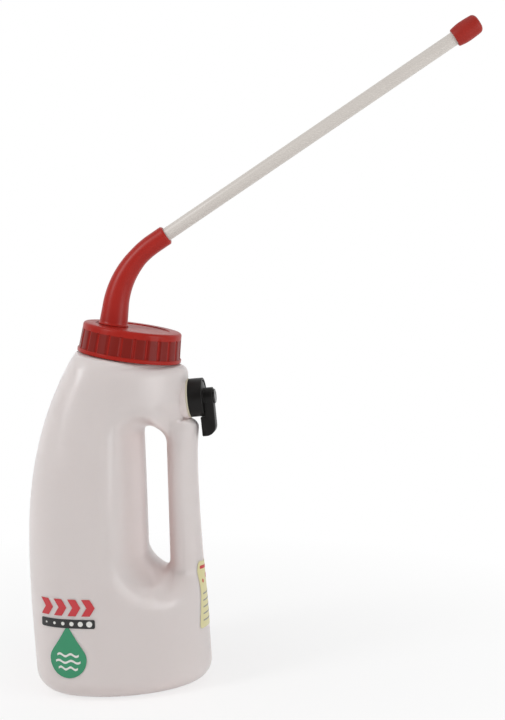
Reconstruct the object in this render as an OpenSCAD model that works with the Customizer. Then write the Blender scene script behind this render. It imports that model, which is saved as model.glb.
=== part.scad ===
/* [Jug body] */
// Front of the body at the base, ahead of the origin
front_base = 81.5; // [79:0.5:84]
// Front of the body where it is fullest
front_belly = 87.2; // [85:0.2:90]
// Height of the fullest part of the front
belly_z = 125; // [115:1:135]
// Slope of the front where it runs into the neck, across per unit of height
shoulder_slope = 0.62; // [0.55:0.01:0.7]
// Back of the body at the base, behind the origin
back_base = 76.8; // [74:0.2:80]
// Back of the grip
back_grip = 65.6; // [64:0.2:68]
// How far the back stands out again above the grip
grip_kick = 1.4; // [0.8:0.1:2]
// Height at which the back comes up to the grip
grip_z = 214; // [205:1:220]
// Width of the body across the belly
body_w = 150; // [142:1:156]
// Width of the body at the neck
shoulder_w = 116; // [112:1:120]
// Height at which the sides start to draw in towards the neck
taper_z = 160; // [150:1:170]
// Radius of the edge round the base
base_edge_r = 20; // [17:0.5:22]
// Radius of the corner behind the neck
back_top_r = 8; // [6:0.5:10]
// Thickness of the jug's wall
wall = 2; // [1.5:0.1:2.4]
// Half width of the flat land along the moulding's parting line
parting_land = 0.5; // [0.3:0.1:0.8]

/* [Handle] */
// Front of the finger gap, behind the origin
gap_front = 15.6; // [14:0.2:18]
// Width of the finger gap, front to back
gap_w = 22.8; // [21:0.2:25]
// Height of the bottom of the finger gap
gap_z = 106.8; // [102:0.2:112]
// Length of the finger gap
gap_len = 131; // [123:1:134]
// Lean of the finger gap, across per unit of height
gap_lean = -0.016; // [-0.03:0.002:0]
// Slant of the finger gap's ends, height per unit across
gap_slant = 0.25; // [0.1:0.05:0.4]
// Width of the rounding round the finger gap
gap_round = 17; // [15:0.5:19]
// Width of the hollow pressed in round the finger gap
pocket_w = 25.7; // [23:0.5:28]
// How far the handle is drawn in from the body's sides, from 0 to 1
pocket_draw = 0.5; // [0.42:0.01:0.56]

/* [Neck] */
// Neck's axis behind the origin, at the rim of the cap
neck_x = 3.4; // [2:0.2:5]
// Height of the neck's axis at the rim of the cap
neck_z = 301.6; // [296:0.5:306]
// Lean of the neck towards the handle
neck_tilt = 8.5; // [6:0.5:10]
// Outside radius of the neck
neck_r = 40.6; // [39.8:0.1:40.8]
// Thickness of the neck
neck_wall = 3; // [2.4:0.1:3.5]
// Advance of the screw thread in one turn
thread_pitch = 7; // [6.5:0.1:7.5]
// Height of the thread's ridge
thread_h = 2; // [1.6:0.1:2.1]
// Length of the thread, in degrees of turn
thread_turn = 450; // [360:10:480]
// Clearance between the cap and the neck, and between their threads
thread_gap = 0.5; // [0.4:0.05:0.6]

/* [Cap] */
// Radius of the cap at its rim
cap_r = 47.6; // [47.2:0.1:49]
// Height of the cap
cap_h = 27; // [26:0.1:28]
// Thickness of the cap's top
cap_top = 2.4; // [2:0.1:2.8]
// Height of the plain band round the rim
rim_band = 3.4; // [3:0.1:4.5]
// How far the rim band stands out from the skirt
rim_proud = 0.9; // [0.6:0.1:1.2]
// How much narrower the skirt is at its top than at the rim band
skirt_draft = 1.7; // [1:0.1:1.8]
// Number of flutes in the skirt
flutes = 24; // [18:1:30]
// Radius of a flute
flute_r = 1.3; // [1.1:0.1:1.5]
// Height of the plain band above the flutes
top_band = 5.5; // [5:0.1:6.5]
// Rounding of the cap's top edge
cap_edge_r = 3; // [2:0.1:3.5]
// Radius of the recessed disc in the cap's top
recess_r = 34; // [33:0.5:36]
// Depth of the recessed disc
recess_depth = 0.9; // [0.6:0.1:1.2]
// Gap between the cap's rim and the shoulder
rim_gap = 1; // [0.8:0.1:1.5]
// Thickness of the sealing ring under the cap
liner_t = 2; // [1.6:0.1:2.2]

/* [Elbow] */
// Elbow's axis ahead of the cap's axis
elbow_x = 18.3; // [16:0.2:19]
// Bend of the elbow
elbow_bend = 48.3; // [44:0.1:52]
// Radius of the bend along its middle
bend_r = 82; // [74:1:84]
// Height above the cap's rim at which the two straight axes cross
corner_z = 80.7; // [79:0.1:86]
// Distance from that crossing to the elbow's mouth
elbow_reach = 51; // [49:0.5:56]
// Radius of the elbow where it stands on the cap
elbow_base_r = 13; // [12.6:0.1:13.4]
// Radius of the elbow at its mouth
elbow_end_r = 9.1; // [8.8:0.1:9.4]
// Length over which the elbow tapers
elbow_taper = 68; // [58:1:72]
// Chamfer round the elbow's mouth
mouth_chamfer = 1.4; // [1:0.1:1.6]
// Radius of the spigot that stands in the cap
spigot_r = 11; // [10.6:0.1:11.2]
// Length of the spigot below the cap's top
spigot_len = 17.5; // [16.8:0.1:19]
// Radius of the passage at the spigot
duct_r = 7; // [6.4:0.1:7.2]
// Depth of the boss that holds the spigot, below the cap's top plate
boss_h = 8; // [7:0.1:8.5]
// Thickness of the nut under the boss
elbow_nut_h = 4; // [3.4:0.1:4.4]

/* [Tube and tip] */
// Outside diameter of the tube
tube_d = 12.2; // [11.8:0.1:12.4]
// Thickness of the tube
tube_wall = 1.4; // [1:0.1:1.6]
// Depth of the elbow's socket
socket_len = 24; // [20:0.5:26]
// Length of tube that shows between the elbow and the tip
tube_show = 307; // [280:1:340]
// Length of the tip
tip_len = 25; // [23:0.5:28]
// Largest radius of the tip
tip_r = 9.4; // [9:0.05:9.8]
// Radius of the tip at its base
tip_base_r = 8.3; // [7.8:0.1:8.6]
// Radius of the tip's blunt end
tip_end_r = 6.2; // [5.8:0.1:6.6]
// Depth of the tip's socket
tip_socket = 15; // [12:0.5:17]

/* [Air valve] */
// Height of the valve's axis at its seat
valve_z = 263.2; // [260:0.4:266]
// Distance of the seat behind the origin
seat_x = 58; // [56:0.2:60]
// Upward lean of the valve's axis
valve_tilt = 5; // [3:0.5:7]
// How far the boss stands out of the jug's back
seat_proud = 0.5; // [0.3:0.1:1]
// Thickness of the boss
seat_t = 3.5; // [3:0.1:4]
// Depth of the boss into the jug
seat_depth = 7.5; // [7:0.1:8.5]
// Radius of the boss
seat_r = 18.6; // [18.2:0.1:19]
// Thickness of the gasket
gasket_t = 1.5; // [1.2:0.1:2]
// Radius of the housing
housing_r = 17.6; // [17.3:0.1:18]
// Length of the housing
housing_len = 13; // [12.6:0.1:14]
// Thickness of the housing's rim
housing_rim = 2; // [1.6:0.1:2.2]
// Radius of the hollow stem
stem_r = 9; // [8.7:0.1:9.3]
// Length of the stem behind the gasket
stem_len = 14; // [13.5:0.1:15]
// Radius of the hole through the stem's seat
throat_r = 4.6; // [4:0.1:5]
// Thickness of the check disc
disc_t = 1.6; // [1.4:0.1:1.8]
// Travel of the check disc
disc_travel = 2; // [1.5:0.1:2.2]
// Thickness of the cage that keeps the check disc
cage_t = 1.6; // [1.4:0.1:1.8]
// Thickness of the port plate
plate_t = 3; // [2.6:0.1:3.2]
// Thickness of the rotor's disc
rotor_t = 3.3; // [3:0.1:3.6]
// Distance of the air ports from the valve's axis
port_ring_r = 11.4; // [11.2:0.1:11.8]
// Radius of the air port in the plate
port_r = 2.4; // [2.2:0.1:2.6]
// Turn of the lever between two settings
port_step = 40; // [36:1:42]
// Radii of the metering holes, from the slow to the fast setting
meter_r = [0.9, 1.3, 1.8];
// Thickness of the backnut
backnut_h = 6; // [5:0.1:6.5]

/* [Lever] */
// Radius of the lever's hub
hub_r = 8.3; // [8:0.1:8.6]
// Height of the hub above the housing's rim
hub_h = 8.6; // [8:0.1:9.4]
// Reach of the lever from the valve's axis
lever_reach = 35.6; // [34:0.2:37]
// Width of the lever
lever_w = 13; // [11:0.5:14]
// How far the finger pad reaches back past the housing's rim
pad_back = 4.4; // [3:0.1:5]
// Rounding of the finger pad's outer corner
pad_round = 9; // [7:0.5:10]
// Radius of the pivot screw
screw_r = 2; // [1.8:0.1:2.2]
// Radius of the screw's head
head_r = 3.9; // [3.7:0.1:4.1]
// Height of the screw's head
head_h = 2; // [1.8:0.1:2.2]
// Thickness of the washer
washer_t = 0.6; // [0.5:0.1:0.8]
// Radius of the disc that closes the hub
hub_cap_r = 6.7; // [6.4:0.1:7]
// Thickness of that disc above the hub
hub_cap_t = 1.8; // [1.5:0.1:2]

/* [Labels] */
// Thickness of the labels
label_t = 0.25; // [0.2:0.05:0.35]
// Gap that stands for the adhesive under the side label
label_gap = 0.35; // [0.3:0.05:0.45]
// Gap that stands for the adhesive under the back label, which bridges the hollow at the handle's root
back_label_gap = 0.8; // [0.7:0.05:0.9]
// Front edge of the side label, ahead of the origin
side_label_front = 68; // [64:1:70]
// Length of the side label
side_label_len = 54; // [48:1:58]
// Height of the side label's lower edge
side_label_z = 20; // [20:1:26]
// Height of the side label
side_label_h = 74; // [66:1:78]
// Height of the back label's lower edge
back_label_z = 53; // [50:1:56]
// Height of the back label
back_label_h = 60; // [52:1:62]
// Width of the back label's lower edge, seen straight from behind
back_label_w = 40; // [32:1:42]
// Width of the back label's upper edge, seen straight from behind, where it wraps the handle's root
back_label_top_w = 18; // [14:1:18]

/* [Hidden] */

$fn = 64;
// Clearance of a shaft that turns in its bore
run_gap = 0.05;
// Clearance of a piece that is pressed or screwed home
seat_gap = 0.02;
// Clearance between flat faces that move past each other
face_gap = 0.1;
// Overlap that joins two shapes of one piece
bite = 0.4;
// Length by which a cut runs past a face
past = 1;

// Section of the body: place of the crown and fullness of its two ends
crown_at = 0.38;
front_full = 2.86;
back_full = 1.76;
// Slopes of the front and the back at the base
front_flare = 0.05;
back_flare = -0.03;
// How far, and over what height, the sides draw in at the base and under the neck
base_draw = 0.28;
neck_draw = 0.2;
neck_draw_h = 26.8;
// Height over which the back steps in to the valve's seat
seat_step_h = 5;
// Radius at which the shoulder ends, set in under the cap's rim
shoulder_in = 1.5;
shoulder_r = cap_r - shoulder_in;
// Depth to which the neck, and its bore, run into the shoulder
neck_root = rim_gap + wall / 2;
neck_bore_root = 4 * wall;
// Width over which the hollow at the gap runs into the handle, in gap radii
handle_ease = 1.5;
// Number of points along each stretch of the body's side view
front_steps = 16;
corner_steps = 5;
base_steps = 9;
back_steps = 19;
top_steps = 7;
ring_steps = 11;

gap_r = gap_w / 2;
gap_mid_x = gap_front + gap_r;
gap_low = gap_z + gap_r;
gap_high = gap_z + gap_len - gap_r;
gap_mid_z = gap_z + gap_len / 2;
seat_step_z = valve_z - seat_r - seat_step_h + parting_land;
shoulder_front = neck_point(-shoulder_r, -rim_gap);
shoulder_back = neck_point(shoulder_r, -rim_gap);
// Height of the corner behind the neck, and the back below it, which the boss stands out of
back_corner_z = shoulder_back[1] - back_top_r;
seat_wall_x = seat_x - seat_proud;

skirt_r = cap_r - rim_proud;
skirt_top_r = skirt_r - skirt_draft;
skirt_lean = atan(skirt_draft / (cap_h - cap_edge_r));
// How far a flute's axis stands out of the skirt
flute_out = 0.4;
flute_len = cap_h - rim_band - top_band;
skirt_in_r = neck_r + thread_h + thread_gap;
ceiling_z = cap_h - cap_top;
neck_h = ceiling_z - liner_t - 2 * face_gap;
boss_z = ceiling_z - boss_h;
// Wall of the boss outside the elbow's foot
boss_wall = 3;
boss_r = elbow_base_r + boss_wall;
liner_z = neck_h + face_gap;
// How far the sealing ring reaches in past the neck's bore
liner_in = 1;
// Height at which the neck's ridge starts, and half its height at the wall and at the crest
neck_thread_z = 4.5;
thread_root = 1.3;
thread_tip = 0.6;
// Turn between two sections of a ridge, and sections over which its ends fade from a low start
thread_step = 10;
thread_fade = 3;
thread_start = 0.15;
// Turn by which the cap's ridge starts after the neck's
thread_lead = 90;
// The cap's ridge lies midway below the neck's ridge
cap_thread_z = neck_thread_z + thread_pitch * (thread_lead / 360 - 0.5);

cap_floor_z = cap_h - recess_depth;
// Collar on which the elbow stands
collar_proud = 0.7;
collar_r = elbow_base_r + collar_proud;
collar_h = 1.4;
bend_tangent = bend_r * tan(elbow_bend / 2);
bend_start_z = corner_z - bend_tangent;
elbow_foot_z = cap_floor_z + face_gap;
rise_len = bend_start_z - elbow_foot_z;
arc_len = bend_r * elbow_bend * PI / 180;
mouth_len = elbow_reach - bend_tangent;
elbow_len = rise_len + arc_len + mouth_len;
spigot_z = cap_floor_z - spigot_len;
// Rim of the elbow's nut outside the spigot
elbow_nut_rim = 5;
// Cord of the spigot's seal and the width of its groove
elbow_o_r = 1.1;
elbow_groove_w = 2.6;
elbow_groove_z = (boss_z + ceiling_z) / 2;
tube_r = tube_d / 2;
tube_bore_r = tube_r - tube_wall;
socket_r = tube_r + run_gap;
// Cord of the tube's seal and the place of its groove from the mouth
tube_o_r = 0.75;
tube_groove_z = -8;
tube_start = -socket_len + face_gap;
tube_end = tube_show + tip_socket - seat_gap;
// Tip: its lip at the base, the height of its swell, and the radius of its nose
tip_lip = 1;
tip_lip_in = 0.6;
tip_swell_at = 10;
tip_nose = 3;
tip_nose_in = 0.9;

housing_z = gasket_t;
housing_face = housing_z + housing_len;
cup_r = housing_r - housing_rim;
// How far the rotor lies below the housing's rim
rotor_sunk = 0.2;
rotor_face = housing_face - rotor_sunk;
rotor_z = rotor_face - rotor_t;
// Soft disc under the rotor
seal_t = 0.45;
seal_in = 1;
plate_z = rotor_z - seal_t - seat_gap * 2 - plate_t;
// Ledge that carries the port plate, and the chamber behind it
ledge_w = 1.6;
ledge_r = cup_r - ledge_w;
chamber_h = 3.4;
chamber_z = plate_z - chamber_h;
stem_end = gasket_t - stem_len;
// Wall of the stem round the check disc, and the cage set in at its end
stem_wall = 2;
disc_bore_r = stem_r - stem_wall;
cage_in = 0.4;
cage_z = stem_end + cage_in;
cage_rim = 2;
cage_bar = 1.6;
disc_low_z = cage_z + cage_t + face_gap + disc_travel;
throat_z = disc_low_z + disc_t + face_gap;
// Rim of the backnut outside the stem, and of the gasket outside the housing
backnut_rim = 4.2;
gasket_proud = 0.4;
hub_face = housing_face + hub_h;
// Well in the hub for the screw's head
head_sunk = 1.2;
head_gap = 0.4;
counterbore_z = hub_face - head_h - washer_t - head_sunk;
counterbore_r = head_r + head_gap;
washer_z = counterbore_z + seat_gap;
head_z = washer_z + washer_t + seat_gap;
// Screwdriver slot
slot_w = 1;
slot_depth = 0.8;
// Plug of the hub's disc, which ends short of the screw's head
plug_gap = 0.3;
hub_cap_plug = hub_face - head_z - head_h - plug_gap;
lever_low_z = housing_face + face_gap;
pad_z = housing_face - pad_back;
// Clearance of the finger pad outside the housing
pad_gap = 0.7;
pad_in = housing_r + pad_gap;
// Turn of the plate's air port from the lever's rest
plug_angle = 180;
// Number of points along each side of the labels
side_label_steps = 9;
back_label_across = 10;
back_label_up = 10;
// Place behind the gap's rounding from which the back label's points are sought, and halvings of that search
back_label_x = gap_mid_x + gap_r + gap_round;
back_label_halvings = 24;

milky = [0.87, 0.85, 0.83];
red = [0.72, 0.13, 0.12];
black = [0.1, 0.1, 0.1];
white = [0.86, 0.85, 0.82];
amber = [0.8, 0.76, 0.6];
steel = [0.7, 0.71, 0.73];
rubber = [0.16, 0.16, 0.17];
label_green = [0.2, 0.55, 0.35];
label_yellow = [0.93, 0.91, 0.66];

// Frames of the neck, the tube and the valve

module on_neck() {
    translate([neck_x, 0, neck_z]) rotate([0, neck_tilt, 0]) children();
}

module on_elbow() {
    on_neck() translate([-elbow_x, 0, 0]) children();
}

// Along the tube, from the elbow's mouth
module on_tube() {
    on_elbow() translate([0, 0, corner_z]) rotate([0, elbow_bend, 0])
        translate([0, 0, elbow_reach]) children();
}

// Out of the jug's back, from the seat; the local X axis points down
module on_valve() {
    translate([seat_x, 0, valve_z]) rotate([0, 90 - valve_tilt, 0]) children();
}

module ring(r_out, r_in, z, h) {
    translate([0, 0, z]) difference() {
        cylinder(r = r_out, h = h);
        translate([0, 0, -past]) cylinder(r = r_in, h = h + 2 * past);
    }
}

module torus(r_mid, r_cord, z) {
    translate([0, 0, z]) rotate_extrude() translate([r_mid, 0]) circle(r = r_cord, $fn = 24);
}

// Curves of the jug's side view

function smooth(t) = let (u = max(0, min(1, t))) u * u * (3 - 2 * u);

// Place across the line from a to b
function between(a, b, t) = a + (b - a) * t;

// Smooth curve from height z0 to z1 with a given slope at each end
function eased(z0, x0, slope0, z1, x1, slope1, z) =
    let (h = z1 - z0, t = (z - z0) / h)
    (2 * t * t * t - 3 * t * t + 1) * x0 + (t * t * t - 2 * t * t + t) * h * slope0
    + (3 * t * t - 2 * t * t * t) * x1 + (t * t * t - t * t) * h * slope1;

// Setback of a rounded corner of radius r, at depth d into the corner
function corner(r, d) = let (u = max(0, min(r, d))) r - sqrt(max(0, r * r - u * u));

// Point of the side view at a distance across and along the neck's axis
function neck_point(across, along) = [
    neck_x + across * cos(neck_tilt) + along * sin(neck_tilt),
    neck_z - across * sin(neck_tilt) + along * cos(neck_tilt)
];

// Top of the shoulder, inset by i
function top_z(x, i) = shoulder_front[1] - (x - shoulder_front[0]) * tan(neck_tilt) - i / cos(neck_tilt);

// Front and back of the side view at height z, inset by i
function front_x(z, i) =
    corner(base_edge_r - i, base_edge_r - z) + i - (z < belly_z
        ? eased(0, front_base, front_flare, belly_z, front_belly, 0, z)
        : eased(belly_z, front_belly, 0, shoulder_front[1], -shoulder_front[0], -shoulder_slope, z));

function back_line(z) = z < grip_z
    ? eased(0, back_base, back_flare, grip_z, back_grip, 0, z)
    : back_grip + grip_kick * smooth((z - grip_z) / (seat_step_z - grip_z));

// Setback that brings the corner behind the neck to the shoulder's end
function back_corner(z, i) =
    let (reach = seat_wall_x - shoulder_back[0])
    corner(back_top_r - i, z - back_corner_z) * (reach - i) / (back_top_r - i);

function back_x(z, i) =
    between(back_line(z), seat_wall_x, smooth((z - seat_step_z) / seat_step_h))
    - back_corner(z, i) - corner(base_edge_r - i, base_edge_r - z) - i;

// Distance outside the finger gap
function gap_away(x, z) =
    let (across = x - gap_lean * (z - gap_mid_z) - gap_mid_x, up = z + gap_slant * across)
    norm([across, up - max(gap_low, min(gap_high, up))]) - gap_r;

// Half width of the body at a point of its side view, inset by i
function half_width(x, z, i) =
    let (
        f = front_x(z, i),
        b = back_x(z, i),
        m = f + crown_at * (b - f),
        part = min(1, max(0, x < m ? (m - x) / (m - f) : (x - m) / (b - m))),
        full = x < m ? front_full : back_full,
        section = pow(max(0, 1 - pow(part, full)), 1 / full),
        draw_in = smooth((z - taper_z) / (shoulder_front[1] - taper_z)),
        half = between(body_w, shoulder_w, draw_in) / 2 - i,
        away = gap_away(x, z) - i,
        near_gap = max(0, min(1, 1 - away / pocket_w)),
        behind = smooth((x - gap_mid_x) / (handle_ease * gap_r)),
        along = smooth((z - gap_z + pocket_w) / pocket_w) * (1 - smooth((z - gap_z - gap_len) / pocket_w)),
        pocket = max(1 - sqrt(1 - near_gap * near_gap), behind * along),
        rim = max(0, min(1, 1 - away / gap_round)),
        lip = sqrt(max(0, 1 - rim * rim)),
        under_neck = max(0, min(1, 1 - (top_z(x, i) - z) / neck_draw_h)),
        at_base = max(0, min(1, (base_edge_r - z) / (base_edge_r - i)))
    )
    half * section * (1 - pocket_draw * pocket) * lip
    * (1 - neck_draw * (1 - sqrt(1 - under_neck * under_neck)))
    * (1 - base_draw * (1 - sqrt(1 - at_base * at_base)));

// Side view, inset by i: front, base, back and top, each from its own curve
function front_heights(i) = concat(
    [for (k = [0 : front_steps - 1]) between(shoulder_front[1] - i, base_edge_r, k / (front_steps - 1))],
    [for (k = [1 : corner_steps - 1]) base_edge_r - (base_edge_r - i) * sin(90 * k / corner_steps)]);

function back_heights(i) = concat(
    [for (k = [1 : corner_steps - 1]) base_edge_r - (base_edge_r - i) * cos(90 * k / corner_steps)],
    [for (k = [0 : back_steps - 1]) between(base_edge_r, back_corner_z, k / (back_steps - 1))],
    [for (k = [1 : corner_steps]) back_corner_z + (back_top_r - i) * sin(90 * k / corner_steps)]);

function outline(i) =
    let (
        front = [for (z = front_heights(i)) [front_x(z, i), z]],
        base = [for (k = [0 : base_steps - 1])
            [between(front_x(i, i), back_x(i, i), k / (base_steps - 1)), i]],
        back = [for (z = back_heights(i)) [back_x(z, i), z]],
        last = back[len(back) - 1],
        top = [for (k = [1 : top_steps]) between(last, front[0], k / (top_steps + 1))]
    )
    concat(front, base, back, top);

// Finger gap, grown by i, with one point for each point of the side view
function gap_outline(i) =
    let (
        r = gap_r + i,
        fronts = front_steps + corner_steps - 1,
        backs = back_steps + 2 * corner_steps - 1,
        front = [for (k = [0 : fronts - 1]) [gap_mid_x - r, between(gap_high, gap_low, k / (fronts - 1))]],
        low = [for (k = [1 : base_steps]) let (a = 180 * k / (base_steps + 1))
            [gap_mid_x - r * cos(a), gap_low - r * sin(a)]],
        back = [for (k = [0 : backs - 1]) [gap_mid_x + r, between(gap_low, gap_high, k / (backs - 1))]],
        high = [for (k = [1 : top_steps]) let (a = 180 * k / (top_steps + 1))
            [gap_mid_x + r * cos(a), gap_high + r * sin(a)]]
    )
    [for (p = concat(front, low, back, high))
        let (z = p[1] - gap_slant * (p[0] - gap_mid_x))
        [p[0] + gap_lean * (z - gap_mid_z), z]];

// Body with its handle, inset by i: a skin over both sides of the side view
module body_form(i) {
    outer = outline(i);
    inner = gap_outline(i);
    rows = len(outer);
    cols = 2 * (ring_steps + 1);
    points = [for (j = [0 : rows - 1]) for (k = [0 : cols - 1])
        let (
            side = k <= ring_steps ? -1 : 1,
            step = k <= ring_steps ? k : cols - 1 - k,
            p = between(outer[j], inner[j], (1 - cos(180 * step / ring_steps)) / 2)
        )
        [p[0], side * (half_width(p[0], p[1], i) + parting_land), p[1]]];
    faces = [for (j = [0 : rows - 1]) for (k = [0 : cols - 1])
        let (
            a = j * cols + k,
            b = ((j + 1) % rows) * cols + k,
            c = ((j + 1) % rows) * cols + (k + 1) % cols,
            d = j * cols + (k + 1) % cols
        )
        each [[a, c, b], [a, d, c]]];
    polyhedron(points = points, faces = faces);
}

// Screw ridge on a round wall: it stands out of a neck, or into a cap where crest_r is the smaller
module thread_ridge(root_r, crest_r, z, start) {
    count = thread_turn / thread_step;
    points = [for (k = [0 : count])
        let (
            a = start + k * thread_step,
            h = z + thread_pitch * k * thread_step / 360,
            rise = min(1, thread_start + min(k, count - k) / thread_fade),
            r = between(root_r, crest_r, rise)
        )
        each [for (p = [[root_r, -thread_root], [r, -thread_tip], [r, thread_tip], [root_r, thread_root]])
            [p[0] * cos(a), p[0] * sin(a), h + p[1]]]];
    sides = [for (k = [0 : count - 1]) for (m = [0 : 3])
        let (a = 4 * k + m, b = 4 * k + (m + 1) % 4)
        each [[a, b, b + 4], [a, b + 4, a + 4]]];
    last = 4 * count;
    ends = [[0, 2, 1], [0, 3, 2], [last, last + 1, last + 2], [last, last + 2, last + 3]];
    outside = concat(sides, ends);
    polyhedron(points = points,
        faces = crest_r > root_r ? outside : [for (f = outside) [f[2], f[1], f[0]]]);
}

// Point, and turn from upright, at length s along the elbow's middle from its foot
function elbow_at(s) =
    let (
        a = max(0, min(elbow_bend, (s - rise_len) / bend_r * 180 / PI)),
        after = max(0, s - rise_len - arc_len)
    )
    [
        bend_r * (1 - cos(a)) + after * sin(elbow_bend),
        elbow_foot_z + min(s, rise_len) + bend_r * sin(a) + after * cos(elbow_bend),
        a
    ];

// Round passage or horn along the elbow's middle, with one length and radius for each ring
module elbow_sweep(lengths, radii, sides) {
    rings = len(lengths);
    points = [for (j = [0 : rings - 1]) let (p = elbow_at(lengths[j])) for (k = [0 : sides - 1])
        let (u = radii[j] * cos(360 * k / sides), v = radii[j] * sin(360 * k / sides))
        [p[0] + u * cos(p[2]), v, p[1] - u * sin(p[2])]];
    skin = [for (j = [0 : rings - 2]) for (k = [0 : sides - 1])
        let (a = j * sides + k, b = j * sides + (k + 1) % sides)
        each [[a, b + sides, b], [a, a + sides, b + sides]]];
    foot = [for (k = [1 : sides - 2]) [0, k, k + 1]];
    head = [for (k = [1 : sides - 2]) let (o = (rings - 1) * sides) [o, o + k + 1, o + k]];
    polyhedron(points = points, faces = concat(skin, foot, head));
}

// Jug and what is screwed to its neck

module jug() color(milky) {
    difference() {
        union() {
            body_form(0);
            on_neck() translate([0, 0, -neck_root]) cylinder(r = neck_r, h = neck_h + neck_root);
            on_neck() thread_ridge(neck_r - bite, neck_r + thread_h, neck_thread_z, 0);
            on_valve() translate([0, 0, -seat_depth]) cylinder(r = seat_r, h = seat_depth);
        }
        difference() {
            body_form(wall);
            on_valve() translate([0, 0, -seat_depth]) cylinder(r = seat_r, h = seat_depth + 2 * seat_r);
        }
        on_neck() translate([0, 0, -neck_bore_root])
            cylinder(r = neck_r - neck_wall, h = neck_h + neck_bore_root + past);
        on_valve() translate([0, 0, -seat_t - past]) cylinder(r = stem_r + thread_gap, h = seat_t + 2 * past);
        on_valve() translate([0, 0, -seat_depth - past])
            cylinder(r = seat_r - wall, h = seat_depth - seat_t + past);
        on_valve() cylinder(r = seat_r, h = seat_t);
    }
}

module cap() color(red) on_neck() {
    difference() {
        union() {
            difference() {
                rotate_extrude() cap_section();
                for (k = [0 : flutes - 1]) {
                    rotate([0, 0, 360 * k / flutes]) translate([skirt_r + flute_out, 0, rim_band])
                        rotate([0, -skirt_lean, 0]) cylinder(r = flute_r, h = flute_len, $fn = 24);
                }
            }
            translate([-elbow_x, 0, boss_z]) cylinder(r = boss_r, h = boss_h + bite);
            thread_ridge(skirt_in_r + bite, neck_r + thread_gap, cap_thread_z, thread_lead);
        }
        translate([-elbow_x, 0, boss_z - past])
            cylinder(r = spigot_r + run_gap, h = boss_h + cap_top + 2 * past);
    }
}

// Half section of the cap, from its axis
module cap_section() {
    difference() {
        union() {
            polygon(concat(
                [[0, 0], [skirt_r, 0]],
                [for (k = [0 : 6]) let (a = 15 * k)
                    [skirt_top_r - cap_edge_r * (1 - cos(a)), cap_h - cap_edge_r * (1 - sin(a))]],
                [[0, cap_h]]));
            square([cap_r, rim_band]);
        }
        translate([-past, -past]) square([skirt_in_r + past, ceiling_z + past]);
        translate([-past, cap_floor_z]) square([recess_r + past, recess_depth + past]);
    }
}

module cap_liner() color(rubber) on_neck() {
    ring(skirt_in_r - thread_gap, neck_r - neck_wall - liner_in, liner_z, liner_t);
}

// Elbow, tube and tip

function elbow_radius(s) =
    s < elbow_taper ? elbow_end_r + (elbow_base_r - elbow_end_r) * (1 - s / elbow_taper) : elbow_end_r;

module elbow() color(red) on_elbow() {
    steps = 16;
    horn = [for (k = [0 : steps]) between(collar_h / 2, elbow_len - mouth_chamfer, k / steps)];
    start = rise_len - past;
    stop = elbow_len - socket_len + bite;
    difference() {
        union() {
            elbow_sweep(concat(horn, [elbow_len]),
                concat([for (s = horn) elbow_radius(s)], [elbow_end_r - mouth_chamfer]), 32);
            translate([0, 0, elbow_foot_z]) cylinder(r = collar_r, h = collar_h);
            translate([0, 0, spigot_z]) cylinder(r = spigot_r, h = spigot_len + collar_h / 2);
        }
        elbow_sweep([for (k = [0 : steps]) between(start, stop, k / steps)],
            [for (k = [0 : steps]) between(duct_r - bite, tube_bore_r, k / steps)], 24);
        translate([0, 0, spigot_z - past]) cylinder(r = duct_r, h = bend_start_z - spigot_z + past);
        ring(spigot_r + past, spigot_r - 2 * elbow_o_r, elbow_groove_z - elbow_groove_w / 2, elbow_groove_w);
        socket_cut();
    }
}

// Socket for the tube, with the groove of its seal
module socket_cut() {
    translate([0, 0, corner_z]) rotate([0, elbow_bend, 0]) translate([0, 0, elbow_reach]) {
        translate([0, 0, -socket_len]) cylinder(r = socket_r, h = socket_len + past);
        translate([0, 0, tube_groove_z - tube_o_r - face_gap])
            cylinder(r = socket_r + 2 * tube_o_r + run_gap, h = 2 * (tube_o_r + face_gap));
    }
}

module elbow_o_ring() color(rubber) on_elbow() {
    torus(spigot_r - elbow_o_r, elbow_o_r, elbow_groove_z);
}

module elbow_nut() color(red) on_elbow() {
    translate([0, 0, boss_z - face_gap - elbow_nut_h]) difference() {
        cylinder(r = spigot_r + elbow_nut_rim, h = elbow_nut_h, $fn = 6);
        translate([0, 0, -past]) cylinder(r = spigot_r + seat_gap, h = elbow_nut_h + 2 * past);
    }
}

module tube() color(white) on_tube() {
    ring(tube_r, tube_bore_r, tube_start, tube_end - tube_start);
}

module tube_o_ring() color(rubber) on_tube() {
    torus(socket_r + tube_o_r, tube_o_r, tube_groove_z);
}

module tip() color(red) on_tube() translate([0, 0, tube_show]) {
    steps = 8;
    nose_r = tip_end_r - tip_nose_in;
    nose_z = tip_len - tip_nose;
    swell = [for (k = [0 : steps]) let (t = k / steps)
        [between(tip_base_r, tip_r, sin(90 * t)), between(tip_lip, tip_swell_at, t)]];
    taper = [for (k = [1 : steps]) let (t = k / steps)
        [between(tip_r, nose_r + tip_nose, t * t), between(tip_swell_at, nose_z, t)]];
    round_end = [for (k = [1 : steps]) let (a = 90 * k / steps)
        [nose_r + tip_nose * cos(a), nose_z + tip_nose * sin(a)]];
    rotate_extrude() polygon(concat(
        [[tube_r + seat_gap, 0], [tip_base_r - tip_lip_in, 0]], swell, taper, round_end,
        [[tube_bore_r, tip_len], [tube_bore_r, tip_socket], [tube_r + seat_gap, tip_socket]]));
}

// Air valve

module valve_gasket() color(amber) on_valve() {
    ring(housing_r + gasket_proud, stem_r + thread_gap, 0, gasket_t);
}

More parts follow.
